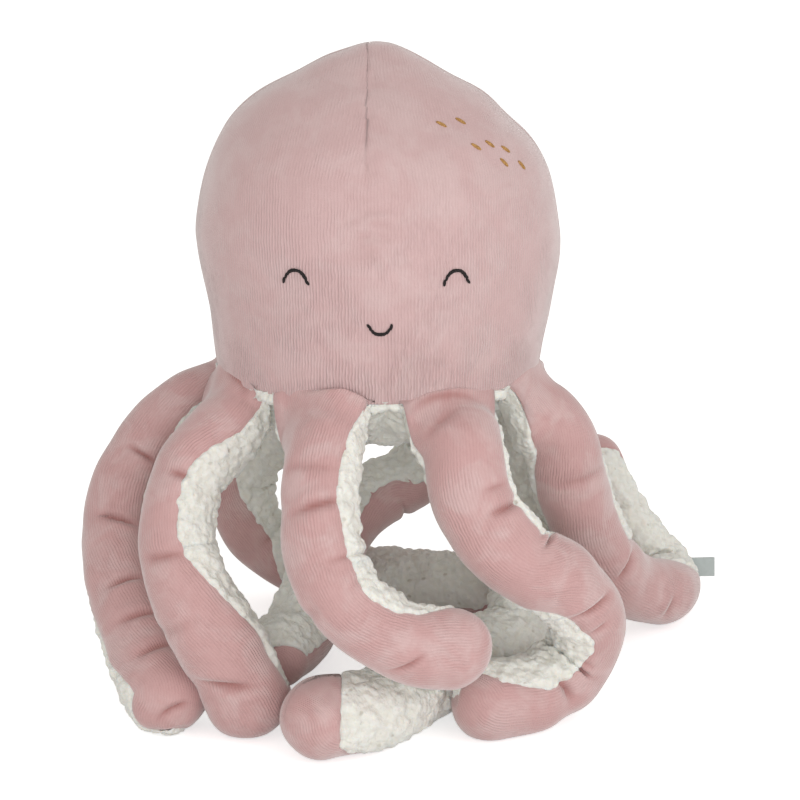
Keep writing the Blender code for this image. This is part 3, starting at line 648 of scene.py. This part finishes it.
class Arm:
    """One arm's middle line, and the smooth skin round it."""

    def __init__(self, name):
        ring_place, self.bend_share, self.tip_share, route = ARMS[name]
        self.name = name
        turn = math.radians(ring_place * 45 + RING_TURN)
        self.radial = np.array([math.sin(turn), -math.cos(turn), 0.0])
        lie = ARM_THICKNESS / 2 - FLAT_DEPTH
        self.root = AXIS + self.radial * (RIM_RADIUS - ROOT_DEPTH) + UP * (BASE_TOP - ROOT_DEPTH - SEAM_GAP)
        rise = self.root[2] - lie
        points, faces = [self.root], [self.radial + UP]
        for x, y, z, *facing in route:
            points.append(AXIS + np.array([x * ARM_REACH, y * ARM_REACH, lie + z * rise]))
            faces.append(np.array(facing) / np.linalg.norm(facing))
        self.start = unit(self.radial - UP)
        lead = np.linalg.norm(points[1] - points[0])
        points = [points[1] - self.start * 2 * lead] + points + [points[-1] * 2 - points[-2]]
        faces = [faces[0]] + faces + [faces[-1]]
        line = curve_through(np.array(points), 60)
        run = run_along(line)
        self.length = run[-1]
        self.even = np.linspace(0, self.length, 800)
        self.line = columns_at(self.even, run, line)
        self.facing = columns_at(self.even, run, curve_through(np.array(faces), 60))
        self.along = self.eased(unit(np.gradient(self.line, axis=0)), 2.5 * MM)
        self.along[0] = self.start
        self.along = unit(self.along)
        self.curve = self.eased(np.gradient(self.along, self.even, axis=0), 3 * MM)
        self.bend = self.bend_share * self.length

    def eased(self, rows, spread):
        """Rows averaged with their neighbours along the arm."""
        step = self.even[1] - self.even[0]
        half = int(3 * spread / step)
        weight = np.exp(-0.5 * (np.arange(-half, half + 1) * step / spread) ** 2)
        weight /= weight.sum()
        padded = np.concatenate([np.repeat(rows[:1], half, 0), rows, np.repeat(rows[-1:], half, 0)])
        return np.stack([np.convolve(padded[:, k], weight, "valid") for k in range(3)], axis=1)

    def at(self, rows, distance):
        return columns_at(distance, self.even, rows)

    def half_sizes(self, distance):
        plump = 1 + (self.tip_share - 1) * distance / self.length
        near = np.clip(1 - distance / ROOT_BLEND, 0, None) ** 2
        wide = ARM_WIDTH * plump + (ROOT_WIDTH - ARM_WIDTH) * near
        thick = ARM_THICKNESS * plump + (ROOT_THICKNESS - ARM_THICKNESS) * near
        full = np.array(ARM_FULLNESS.get(self.name, ((0.0, 0.0), (1.0, 0.0))))
        extra = np.interp(distance / self.length, full[:, 0], full[:, 1]) * MM
        return wide / 2 + extra, thick / 2 + extra * 0.6

    def skin(self, distance, cap, turns):
        """Points of the plain skin, rows along the arm and columns round it, with
        their centres, their UVs and how far a tight bend holds them in."""
        centre = self.at(self.line, distance)
        along = unit(self.at(self.along, distance))
        facing = self.at(self.facing, distance)
        facing = unit(facing - along * np.sum(facing * along, axis=-1, keepdims=True))
        across = np.cross(along, facing)
        wide, thick = self.half_sizes(distance)
        bow = self.at(self.curve, distance)
        tight = np.maximum(np.linalg.norm(bow, axis=-1), 1e-9)[:, None]
        inward = bow / tight
        shrink = np.cos(cap)[:, None]
        offset = (across[:, None] * (wide[:, None] * shrink * np.cos(turns))[..., None]
                  + facing[:, None] * (thick[:, None] * shrink * np.sin(turns))[..., None])
        # the inside of a bend stays clear of the bend's own centre
        depth = np.sum(offset * inward[:, None], axis=-1)
        hold = 0.6 * (BEND_LIMIT / tight)
        room = 0.4 * (BEND_LIMIT / tight)
        eased = np.where(depth > hold, hold + room * (1 - np.exp(-(depth - hold) / room)), depth)
        pinch = depth - eased
        offset = offset - inward[:, None] * pinch[..., None]
        centre = centre + along * (thick * np.sin(cap))[:, None]
        u = np.arcsin(np.clip(np.cos(turns) * shrink, -1, 1))
        u = np.where(np.sin(turns) < 0, np.sign(np.cos(turns)) * 2 * np.arcsin(shrink) - u, u) * wide[:, None]
        v = distance[:, None] + thick[:, None] * np.arctan2(np.sin(cap)[:, None], shrink * np.abs(np.sin(turns)) + 1e-6)
        return centre[:, None] + offset, centre[:, None], np.stack([u, v], axis=-1), pinch

    def root_outline(self, turns, velour):
        """Where the root is sewn: velour under the head's edge, boucle on the base."""
        spread = np.arcsin(np.clip(ROOT_WIDTH / 2 * np.cos(turns) / RIM_RADIUS, -1, 1))
        if velour:
            cover, down, below = np.exp(-(np.degrees(spread) / 15) ** 4), 0, 0
        else:
            cover, down, below = 0, np.abs(np.sin(turns)) * ROOT_THICKNESS * 0.85, 0.5 * MM
        reach = RIM_RADIUS - 0.2 * MM + 0.1 * MM * cover - down * math.sqrt(0.5)
        height = RIM_HEIGHT - below + 4.6 * MM * cover - down * math.sqrt(0.5)
        sideways = np.cross(UP, self.radial)
        direction = self.radial * np.cos(spread)[:, None] - sideways * np.sin(spread)[:, None]
        return AXIS + direction * reach[:, None] + UP * height[:, None]

    def blend_zone(self, part):
        """The two bodies that a part of the arm hangs between, and where it goes
        from one to the other. The lower part's zone starts past its whole first row."""
        if part == "upper":
            start = self.root
            return "head", f"arm_{self.name}_upper", start, start + unit(self.start - 0.25 * UP) * UPPER_BLEND
        bend = np.array([self.bend])
        start = self.at(self.line, bend)[0]
        way = unit(self.at(self.along, bend)[0] + 0.5 * unit(self.line[-1] - start))
        section = self.skin(bend, np.zeros(1), np.linspace(0, 2 * math.pi, 33)[None])[0][0]
        start = start + way * ((section - start) @ way).max()
        return f"arm_{self.name}_upper", f"arm_{self.name}_lower", start, start + way * LOWER_BLEND


def arm_rows(arm, pitch):
    """Distances and cap turns of the rows of a whole arm, and the row of its bend."""
    near = np.linspace(0, ROOT_ROWS, int(ROOT_ROWS / (0.6 * pitch)))
    upper = np.linspace(ROOT_ROWS, arm.bend, int((arm.bend - ROOT_ROWS) / pitch))[1:]
    lower = np.linspace(arm.bend, arm.length, int((arm.length - arm.bend) / pitch))[1:]
    distance = np.concatenate([near, upper, lower])
    bend_row = len(near) + len(upper) - 1
    turns = np.linspace(0, math.pi / 2, int(ARM_THICKNESS / 2 * math.pi / 2 / pitch))[1:]
    cap = np.concatenate([np.zeros(len(distance)), turns])
    distance = np.concatenate([distance, np.full(len(turns), arm.length)])
    return distance, cap, bend_row


def bend_folds(arm):
    """Three folds at the inside of each tight bend of an arm."""
    tight = np.linalg.norm(arm.curve, axis=1)
    facing = unit(arm.facing - arm.along * np.sum(arm.facing * arm.along, axis=1, keepdims=True))
    across = np.cross(arm.along, facing)
    found = []
    for i in range(8, len(tight) - 8):
        if tight[i] > 1 / WIDEST_FOLDED_BEND and tight[i] == tight[max(0, i - 60):i + 61].max():
            turn = math.degrees(math.atan2(arm.curve[i] @ facing[i], arm.curve[i] @ across[i]))
            share = arm.even[i] / arm.length
            deep = min(1.6, 0.5 + 0.022 * tight[i])
            found.append((share, turn, 62, deep, 1.5, 0.0))
            found.append((share - 8.5 * MM / arm.length, turn + 14, 40, deep * 0.55, 1.3, 1.2))
            found.append((share + 9.5 * MM / arm.length, turn - 12, 42, deep * 0.55, 1.3, -1.2))
    return found


def fold_field(arm, distance, cap, turns, folds):
    """Depth of all folds over the skin, and a mark of painted shade that is darkest deep in a fold."""
    thick = arm.half_sizes(distance)[1]
    run = (distance + thick * cap)[:, None]
    height = np.zeros_like(turns)
    shade_mark = np.zeros_like(turns)
    for share, turn, half, deep, width, slant in folds:
        off = (np.degrees(turns) - turn + 180) % 360 - 180
        gap = (run - (share * arm.length + slant * MM * off / half)) / (0.8 * width * MM)
        window = np.exp(-np.abs(off / half) ** 3)
        groove = np.exp(-gap**2) * window
        shoulder = bell(np.abs(gap) - 2.8, 1.4) * window
        waist = bell(run - share * arm.length, 4.5 * MM) * (0.35 + 0.65 * bell(off, 90))
        height += (-deep * groove + 0.30 * deep * shoulder - 0.8 * max(0.0, deep - 0.6) * waist) * MM
        shade_mark = np.maximum(shade_mark, groove * min(1.0, deep / 1.4))
    return height, shade_mark


def boucle_relief(points, salt):
    """Height of the curled tufts, and a mark of painted shade that is darkest deep between them."""
    curl = 1 - (tufts(points, 3.0 * MM, salt) / (2.2 * MM)) ** 2
    tuft = 1 - (tufts(points, 6.0 * MM, salt + 3) / (4.4 * MM)) ** 2
    grain = lumps(points, 1.3 * MM, salt + 6)
    height = (-0.65 + 0.85 * curl + 0.85 * tuft + 0.15 * grain + 0.75 * lumps(points, 8 * MM, salt + 8)) * MM
    return height, np.clip(0.7 * (1 - curl) + 0.35 * (1 - tuft), 0, 1)


def on_floor(points):
    """Flatten what rests on the floor, softly."""
    z = points[..., 2]
    points[..., 2] = np.where(z < FLOOR_SOFT, FLOOR_SOFT * np.exp(np.minimum(0, z - FLOOR_SOFT) / FLOOR_SOFT), z)
    return points


def arm_sheet(arm, velour, folds, salt):
    """Points, UVs and marks of painted shade of one cloth over a whole arm, and the row of the bend."""
    pitch = VELOUR_PITCH if velour else BOUCLE_PITCH
    distance, cap, bend_row = arm_rows(arm, pitch)
    wide, thick = arm.half_sizes(distance)
    # where the cloth ends at each side seam, and a little further under its neighbour
    wraps = np.array(ARM_WRAPS[arm.name])
    gained = np.radians(columns_at((distance + thick * cap) / arm.length, wraps[:, 0], wraps[:, 1:]))
    low, high = gained[:, :1], math.pi - gained[:, 1:]
    if velour:
        low, high = -low, math.pi + gained[:, 1:]
    over = (0.05 if velour else 0.20) * (0.05 + 0.95 * smooth(distance, 2 * MM, 11 * MM))[:, None]
    over = over * smooth(high - low, 0, math.pi / 2)
    spread = np.linspace(0, 1, int(math.pi * ARM_WIDTH / 2 / pitch) + 1)
    place = low - over + spread * (high - low + 2 * over)
    edge = np.minimum(place - low, high - place) * (wide * np.maximum(np.cos(cap), 0.15))[:, None]
    turns = place if velour else -place
    points, centre, uv, pinch = arm.skin(distance, cap, turns)
    # the root's outline fades into the arm
    near = np.clip(1 - distance / ROOT_EASE, 0, 1)[:, None, None]
    shift = arm.root_outline(turns[0], velour) - points[0]
    if velour:
        crown = smooth(np.sin(turns[0]), 0.15, 0.8)[:, None]
        shift = shift + distance[:, None, None] * (-UP - arm.start) * crown
    points = points + shift * (near**2 * (3 - 2 * near))
    normals = grid_normals(points, centre)
    normals[-1] = arm.along[-1]
    fold_height, fold_shade = fold_field(arm, distance, cap, turns, folds)
    swell = lumps(points, 26 * MM, salt) * 1.1 * MM + lumps(points, 11 * MM, salt + 1) * 0.35 * MM
    height = (swell + fold_height) * smooth(distance, 2 * MM, 16 * MM)[:, None]
    if velour:
        # pulled in and gathered along the seam, less where the two edges meet at the tip
        tip = np.cos(cap)[:, None]
        gather = line_lumps(distance, 6 * MM, salt + 5)[:, None]
        parted = 0.4 + 0.6 * smooth(2 * math.pi - (high - low), 0.2, 1.0)
        height = height - 0.9 * MM * bell(np.maximum(edge, 0), 1.5 * MM) * (0.4 + 0.6 * tip) * parted
        height = height + 0.35 * MM * gather * bell(edge, 4 * MM) * tip * parted
        # painted shade, darker and redder, in the folds, along the seam's edge and inside tight bends
        shade_mark = np.maximum(fold_shade, 0.35 * bell(edge, 0.8 * MM) * parted)
        shade_mark = np.maximum(shade_mark, smooth(pinch, 0.5 * MM, 3 * MM) * 0.25)
        shade_marks = {"fold": np.clip(shade_mark, 0, 1)}
    else:
        # curled, ragged at its edges, and sunk where the velour closes over it
        rough, valley_shade = boucle_relief(points, salt)
        jagged = 0.5 * MM + 0.6 * MM * lumps(points, 3.5 * MM, salt + 6)
        height = height * 0.8 + rough * smooth(distance, -2 * MM, 5 * MM)[:, None] - np.maximum(-edge - jagged, 0)
        core = arm.at(arm.line, distance)[:, None]
        points = points + unit(core - points) * (SUNK_END * (1 - smooth(high - low, 0.25, 0.9)))[..., None]
        height = height - 2 * MM * smooth(cap, 1.1, 1.5)[:, None]
        # painted shade between the tufts and, more faintly, in the folds
        shade_marks = {"valley_shade": np.clip(valley_shade + fold_shade * 0.3, 0, 1)}
    points = points + normals * height[..., None]
    points[-1] = points[-1].mean(axis=0)
    return on_floor(points), uv, shade_marks, bend_row


def make_arm(name):
    """Four stuffed forms: upper and lower, each of velour and of boucle."""
    arm = Arm(name)
    salt = list(ARMS).index(name) * 20 + 1
    folds = list(ARM_FOLDS[name]) + bend_folds(arm)
    for cloth, material in (("velour", ARM_VELOUR), ("boucle", BOUCLE)):
        points, uv, shade_marks, bend_row = arm_sheet(arm, cloth == "velour", folds, salt)
        for part, rows in (("upper", slice(0, bend_row + 1)), ("lower", slice(bend_row, None))):
            shade_marked = {key: values[rows] for key, values in shade_marks.items()}
            form = stuffed_form(f"{name}_{part}_{cloth}", points[rows], uv[rows], shade_marked, material)
            stem = f"arm_{name}_{part}_"
            if cloth == "velour":
                stands_for(form, "velour", ARM_FILL, stem + "velour", stem + "stuffing")
            else:
                stands_for(form, "fleece", ARM_FILL, stem + "fleece")
            above, below, start, end = arm.blend_zone(part)
            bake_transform(form)
    return arm


# ---------------------------------------------------------------- the head
def head_profile():
    """Even steps down the head's outline: arc length, height, left and right radius."""
    shares = np.array(HEAD_SHARES)
    table = np.column_stack([RIM_HEIGHT + shares[:, 0] * HEAD_HEIGHT, shares[:, 1:] * HEAD_RADIUS])
    line = curve_through(np.concatenate([[2 * table[0] - table[1]], table, [2 * table[-1] - table[-2]]]), 40)
    run = run_along(line[:, :2])
    even = np.linspace(0, run[-1], int(run[-1] / HEAD_PITCH))
    return even, columns_at(even, run, line)


def around_axis(turns):
    """Level directions from the axis, for turns from the face."""
    return np.stack([np.sin(turns), -np.cos(turns), 0 * turns], axis=-1)


def arm_cover(turns, half=15):
    """1 where an arm is sewn to the rim, and 0 between two arms."""
    away = (np.degrees(turns) - RING_TURN) % 45 - 22.5
    return np.exp(-(away / half) ** 4)


def head_sheet(turns):
    """The head's skin over a span of turns from the face, with its puckers and seams, and a mark of painted shade in
    them and on the tucked edge.
    """
    even, table = head_profile()
    z, left, right = table.T[:, :, None]
    share = smooth(np.sin(turns), -1, 1)
    radius = left * (1 - share) + right * share
    direction = around_axis(turns)
    points = AXIS + direction * radius[..., None] + UP * z[..., None]
    centre = AXIS + UP * np.clip(z, 0, RIM_HEIGHT + 0.55 * HEAD_HEIGHT)[..., None]
    normals = grid_normals(points, centre)
    normals[0] = UP
    zz = np.broadcast_to(z, radius.shape)
    side = points[..., 0] - AXIS[0]
    front = np.cos(turns)[None] > 0
    height = lumps(points, 34 * MM, 301) * 1.0 * MM + lumps(points, 15 * MM, 302) * 0.30 * MM
    height = height * (0.1 + 0.9 * smooth(zz, RIM_HEIGHT + 5 * MM, RIM_HEIGHT + 20 * MM))
    # centre dart, from the apex down to above the eyes
    fade = smooth(zz, DART_END - 7 * MM, DART_END + 4 * MM) * front
    level = np.stack([0 * zz, 0 * zz, zz], -1)
    bite = lumps(level, 2.4 * MM, 305)
    off = side - DART_OFFSET * 1.15 + 0.22 * MM * lumps(level, 1.8 * MM, 306)
    cut = bell(off, 0.6 * MM) * fade
    height = height - (0.34 + 0.24 * bite) * MM * cut - 0.30 * MM * bell(off, 2.6 * MM) * fade
    height = height + 0.22 * MM * bite * bell(np.abs(off) - 1.8 * MM, 1.4 * MM) * fade
    # painted shade along the dart's groove
    shade_mark = np.maximum(0, (0.17 + 0.13 * bite) * cut)
    # the fullness and the puckers that the dart's end leaves
    height = height + 0.5 * MM * bell(off, 9 * MM) * bell(zz - 166 * MM, 9 * MM) * front
    for x, h, half, deep, width, rise in DART_PUCKERS:
        dx = (side / MM - x) / half
        dz = (zz / MM - h - rise * dx) / width
        window = np.exp(-np.abs(dx) ** 3) * front
        height = height - deep * MM * np.exp(-dz**2) * window
        height = height + 0.4 * deep * MM * bell(np.abs(dz) - 2.2, 1.1) * window
        # painted shade in the pucker's groove
        shade_mark = np.maximum(shade_mark, 0.18 * np.exp(-dz**2) * window)
    # side seams
    around = np.abs(np.abs(turns) % math.pi - math.pi / 2)[None] * np.maximum(radius, 1 * MM)
    seam = bell(around, 0.9 * MM)
    height = height - 0.8 * MM * seam - 0.35 * MM * bell(around, 4 * MM)
    # painted shade along the side seams
    shade_mark = np.maximum(shade_mark, 0.6 * seam)
    # gathers where the arms are sewn in
    low = 1 - smooth(zz, RIM_HEIGHT, RIM_HEIGHT + 9 * MM)
    gathers = line_lumps(turns * RIM_RADIUS, 5.5 * MM, 309) * 0.25 * MM
    height = height + gathers * low * smooth(zz, RIM_HEIGHT + 1 * MM, RIM_HEIGHT + 5 * MM)
    height = height - 0.5 * MM * (1 - arm_cover(turns)) * low**2
    height = height * smooth(RIM_HEIGHT + HEAD_HEIGHT - zz, 0.2 * MM, 4 * MM)
    # the full apex and the full right shoulder
    back = points[..., 1] - AXIS[1]
    height = height + 1.7 * MM * bell(side, 13 * MM) * bell(back, 13 * MM)
    height = height + 1.9 * MM * bell(side - 39 * MM, 11 * MM) * bell(zz - 203 * MM, 10 * MM)
    points = points + normals * height[..., None]
    points[0] = points[0].mean(axis=0)
    # the ribs lean on each side of the dart
    from_middle = (turns + math.pi / 2) % math.pi - math.pi / 2
    u = from_middle * radius + np.where(front, np.sign(off), 0) * 0.22 * np.maximum(0, zz - DART_END)
    # the lower edge is tucked under
    tuck = np.linspace(0, 1, TUCK_ROWS + 1)[1:, None, None]
    under = points[-1:] - direction * (4.2 * MM * tuck**1.5) - UP * (0.8 * MM * np.sin(tuck * math.pi) ** 0.8)
    points = np.concatenate([points, under])
    # painted shade on the edge tucked under
    shade_mark = np.concatenate([shade_mark, np.full((TUCK_ROWS, len(turns)), 0.3)])
    u = np.concatenate([u, np.repeat(u[-1:], TUCK_ROWS, 0)])
    v = np.concatenate([even, even[-1] + np.arange(1, TUCK_ROWS + 1) * MM])[:, None] + 0 * turns
    return points, np.stack([u, v], axis=-1), np.clip(shade_mark, 0, 1)


def make_head():
    """Two stuffed velour halves, which meet at the side seams."""
    half_turn = np.linspace(-math.pi / 2, math.pi / 2, int(math.pi * HEAD_RADIUS / HEAD_PITCH))
    made = []
    for name, turns, nodes in (
        ("head_front_velour", half_turn, ("head_front_panel", "head_stuffing")),
        ("head_back_velour", half_turn + math.pi, ("head_back_panel",)),
    ):
        points, uv, shade_mark = head_sheet(turns)
        form = stuffed_form(name, points, uv, {"fold": shade_mark}, HEAD_VELOUR, wall=30)
        stands_for(form, "velour", HEAD_FILL, *nodes)
        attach(form, "head")
        made.append(form)
    return made


def make_base():
    """The boucle disc that closes the head between the arms."""
    edge = RIM_RADIUS - BASE_SLOPE_DROP
    low = BASE_TOP - BASE_SLOPE_DROP
    rows = np.array([
        (0.0, low - BASE_SAG - BASE_DROOP),
        (0.33 * edge, low - 0.9 * (BASE_SAG + BASE_DROOP)),
        (0.66 * edge, low - 0.55 * BASE_SAG - 0.75 * BASE_DROOP),
        (edge, low - 0.1 * BASE_DROOP),
        (RIM_RADIUS - 5 * MM, BASE_TOP - 5 * MM),
        (RIM_RADIUS + 0.1 * MM, RIM_HEIGHT + 0.2 * MM),
    ])
    line = curve_through(np.concatenate([[2 * rows[0] - rows[1]], rows, [2 * rows[-1] - rows[-2]]]), 30)
    run = run_along(line)
    pitch = BOUCLE_PITCH * 1.2
    r, z = columns_at(np.linspace(0.2 * MM, run[-1], int(run[-1] / pitch)), run, line).T[:, :, None]
    turns = np.linspace(0, 2 * math.pi, int(2 * math.pi * RIM_RADIUS / pitch))
    direction = around_axis(turns)
    points = AXIS + direction * r[..., None] + UP * z[..., None]
    normals = grid_normals(points, AXIS + UP * RIM_HEIGHT)
    height, valley_shade = boucle_relief(points, 401)
    # a lip between the arms, and a hollow below it
    rim = bell(z - RIM_HEIGHT, 3 * MM)
    under_arm = arm_cover(turns, 20)
    lip = bell(z - RIM_HEIGHT + 2.2 * MM, 1.7 * MM)
    height = height * (1 - 0.8 * rim * under_arm + 0.8 * lip * (1 - under_arm))
    height = height + (2.6 * lip * (1 - under_arm) - 1.2 * rim * under_arm) * MM
    under = smooth(RIM_HEIGHT - z, 3 * MM, 7 * MM) * smooth(r, edge - 14 * MM, edge)
    height = height - 7.5 * MM * under * (1 - under_arm)
    points = points + normals * height[..., None]
    points[:, -1] = points[:, 0]
    points[0] = points[0].mean(axis=0)
    # a lid inside the head
    up = np.linspace(0, 1, LID_ROWS + 1)[1:, None, None]
    inner = AXIS + UP * (RIM_HEIGHT + 0.6 * MM) + direction * (RIM_RADIUS - 4.5 * MM)
    points = np.concatenate([points, points[-1:] * (1 - up) + inner * up])
    # painted shade between the tufts, and none on the lid
    shade_marks = {"valley_shade": np.concatenate([valley_shade, np.zeros((LID_ROWS, len(turns)))])}
    form = stuffed_form("base_boucle", points, np.zeros(points.shape[:2] + (2,)), shade_marks, BOUCLE, wall=1)
    stands_for(form, "fleece", BASE_FILL, "base_panel")
    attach(form, "head")


# ---------------------------------------------------------------- stitches and ribbon
def on_head(head, x, z):
    """The point and normal of the head's front at a place across and a height."""
    _, place, normal, _ = head.ray_cast(Vector((AXIS[0] + x, AXIS[1] - 0.2, z)), Vector((0, 1, 0)))
    return np.array(place), np.array(normal)


def add_stitch(place, along, out, length, thick):
    """One plump stitch: a stretched ball."""
    select_only(None)
    bpy.ops.mesh.primitive_uv_sphere_add(segments=12, ring_count=9, radius=1.0)
    stitch = bpy.context.object
    bpy.ops.object.mode_set(mode="EDIT")
    bpy.ops.mesh.select_all(action="SELECT")
    bpy.ops.transform.resize(value=(thick / 2, thick / 2, length / 2))
    bpy.ops.object.mode_set(mode="OBJECT")
    z = unit(along)
    x = unit(np.cross(out, z))
    turn = np.stack([x, np.cross(z, x), z])
    mesh = stitch.data
    mesh.vertices.foreach_set("co", (places(mesh) @ turn + place).ravel())
    mesh.shade_smooth()
    return stitch


def joined(pieces, name, material, *nodes):
    """Several stitches joined into one piece of thread on the head."""
    select_only(pieces[0])
    for piece in pieces:
        piece.select_set(True)
    bpy.ops.object.join()
    whole = bpy.context.object
    whole.name = name
    whole.data.name = name
    whole.data.materials.clear()
    whole.data.materials.append(material)
    if nodes:
        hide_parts(*nodes)
    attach(whole, "head")


def face_arc(head, name, cad_node, across, height, width, rise, count, thick):
    """An arc of overlapping stem stitches lying on the velour."""
    def arc_place(t):
        return on_head(head, across + t * width / 2, RIM_HEIGHT + height + rise * (1 - abs(t) ** 2.6))

    pieces = []
    for i in range(count):
        t = 2 * i / (count - 1) - 1
        here, out = arc_place(t)
        along = unit(arc_place(t + 0.02)[0] - here)
        along = unit(along + np.cross(out, along) * STITCH_LEAN)
        swell = 1 + 0.12 * math.sin(5.0 * i)
        pieces.append(add_stitch(here + out * 0.28 * MM, along, out, 2.3 * MM, thick * swell))
    joined(pieces, name, CHARCOAL, cad_node)


def make_seeds(head):
    """The loose gold stitches on the brow."""
    pieces = []
    for x, z, lean in SEED_STITCHES:
        here, out = on_head(head, x * MM, z * MM)
        flat = unit(np.cross(UP, out))
        rise = np.cross(out, flat)
        along = flat * math.cos(math.radians(lean)) + rise * math.sin(math.radians(lean))
        pieces.append(add_stitch(here + out * 0.15 * MM, along, out, SEED_LENGTH, SEED_THICKNESS))
    joined(pieces, "gold_seed_stitches", GOLD)


def make_ribbon(arm):
    """A bare folded ribbon, sewn by its two ends into the arm's seam."""
    distance = np.array([arm.bend + RIBBON_PLACE_SHARE * (arm.length - arm.bend)])
    along = unit(arm.at(arm.along, distance)[0])
    facing = arm.at(arm.facing, distance)[0]
    facing = unit(facing - along * (facing @ along))
    out = unit(-np.cross(along, facing) * np.array([1, 1, 0]) - 0.05 * UP)
    centre = arm.at(arm.line, distance)[0] + 2.4 * MM * UP
    wide = arm.half_sizes(distance)[0][0]
    start = wide - 2.5 * MM
    tip = wide + SEAM_GAP + RIBBON_LENGTH
    fold = 0.75 * MM
    # out along one leg, round the fold and back, as reach and thickness
    leg = [(start + (tip - fold - start) * t, fold * (0.55 + 0.45 * t)) for t in np.linspace(0, 1, 16)]
    bow = [(tip - fold + fold * math.sin(a), fold * math.cos(a)) for a in np.linspace(0, math.pi, 12)[1:-1]]
    path = np.array(leg + bow + [(x, -y) for x, y in leg[::-1]])
    wavy = path[:, 1] + np.sin(np.linspace(0, 2.2, len(path))) * 0.15 * MM
    cols = np.linspace(-0.5, 0.5, 15) * RIBBON_WIDTH
    upright = UP - out * (UP @ out)
    lay = unit(0.3 * along * np.sign(along @ upright) + unit(upright))
    lay = unit(lay - out * (lay @ out))
    points = centre + out * path[:, :1, None] + np.cross(out, lay) * wavy[:, None, None] + lay * cols[:, None]
    uvs = np.stack(np.broadcast_arrays(cols[None], run_along(path)[:, None]), axis=-1)
    obj, _, _ = grid_object("ribbon_loop", points, uvs)
    select_only(obj)
    solid = obj.modifiers.new("thickness", "SOLIDIFY")
    solid.thickness = 0.4 * MM
    solid.offset = 0.0
    bpy.ops.object.modifier_apply(modifier="thickness")
    finish_mesh(obj, RIBBON, RIBBON_SHARP)
    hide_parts("ribbon_tag")
    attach(obj, "arm_right_front_lower")


# ---------------------------------------------------------------- stage, light and camera
def seen_directly(tree):
    """1 for rays from the camera, off a gloss or through glass."""
    rays = tree.nodes.new("ShaderNodeLightPath")
    seen = maths(tree, "MAXIMUM", Wire(tree, rays, "Is Camera Ray"), Wire(tree, rays, "Is Glossy Ray"))
    return maths(tree, "MAXIMUM", seen, Wire(tree, rays, "Is Transmission Ray"))


def make_stage():
    """A floor of white paper that keeps the object's shadow."""
    select_only(None)
    bpy.ops.mesh.primitive_plane_add(size=8.0, location=(0, 0, 0))
    floor = bpy.context.object
    floor.name = "floor"
    material, tree, shader = new_material("floor_paper")
    fill_inputs(tree, shader, {"Base Color": (0.90, 0.90, 0.90, 1), "Roughness": 1.0, "Specular IOR Level": 0.0})
    glow = add_node(tree, "ShaderNodeEmission", {"Strength": seen_directly(tree) * FLOOR_GLOW})
    both = add_node(tree, "ShaderNodeAddShader", {0: Wire(tree, shader), 1: Wire(tree, glow)})
    fill_inputs(tree, tree.nodes["Material Output"], {"Surface": Wire(tree, both)})
    floor.data.materials.append(material)


def make_light():
    """A soft room that looks white, and two lamps."""
    world = bpy.data.worlds.new("studio")
    bpy.context.scene.world = world
    world.use_nodes = True
    tree = world.node_tree
    soft = tree.nodes["Background"]
    fill_inputs(tree, soft, {"Color": (1.0, 0.98, 0.95, 1), "Strength": ROOM_LIGHT})
    white = add_node(tree, "ShaderNodeBackground", {"Color": (1, 1, 1, 1), "Strength": 1.0})
    room = add_node(tree, "ShaderNodeMixShader", {0: seen_directly(tree), 1: Wire(tree, soft), 2: Wire(tree, white)})
    fill_inputs(tree, tree.nodes["World Output"], {"Surface": Wire(tree, room)})
    for name, place, size, power in (
        ("key", (0.75, -0.70, 0.50), 0.8, 2.5),
        ("front_fill", (0.0, -0.95, 0.27), 0.3, 3.35),
    ):
        lamp = bpy.data.lights.new(name, "AREA")
        lamp.shape = "RECTANGLE"
        lamp.size = size
        lamp.size_y = size
        lamp.energy = power
        lamp.color = (0.97, 0.99, 1.0)
        obj = bpy.data.objects.new(name, lamp)
        bpy.context.scene.collection.objects.link(obj)
        obj.location = place
        aim = Vector(LAMP_TARGET) - Vector(place)
        obj.rotation_euler = aim.to_track_quat("-Z", "Y").to_euler()


def make_camera():
    """The photo's view: from the front, looking down a little."""
    data = bpy.data.cameras.new("camera")
    camera = bpy.data.objects.new("camera", data)
    bpy.context.scene.collection.objects.link(camera)
    data.lens = 100.0
    data.sensor_width = 36.0
    lift = math.radians(CAMERA_LIFT)
    camera.location = Vector(CAMERA_TARGET) + CAMERA_DISTANCE * Vector((0, -math.cos(lift), math.sin(lift)))
    camera.rotation_euler = (math.radians(90) - lift, 0, 0)
    bpy.context.scene.camera = camera


front_half, _ = make_head()
make_base()
arms = {name: make_arm(name) for name in ARMS}
for name, cad_node, across in (("left_eye_stitches", "eye_left", -EYE_SPREAD),
                               ("right_eye_stitches", "eye_right", EYE_SPREAD)):
    face_arc(front_half, name, cad_node, across, EYE_HEIGHT, EYE_WIDTH - ARC_SHORTER, EYE_ARCH, 11, 1.0 * MM)
face_arc(front_half, "smile_stitches", "mouth", MOUTH_OFFSET, MOUTH_HEIGHT, MOUTH_WIDTH - ARC_SHORTER,
         -MOUTH_SAG + 0.7 * MM, 9, 0.95 * MM)
make_seeds(front_half)
make_ribbon(arms["right_front"])
make_stage()
make_light()
make_camera()
bpy.context.scene.view_settings.view_transform = "Standard"
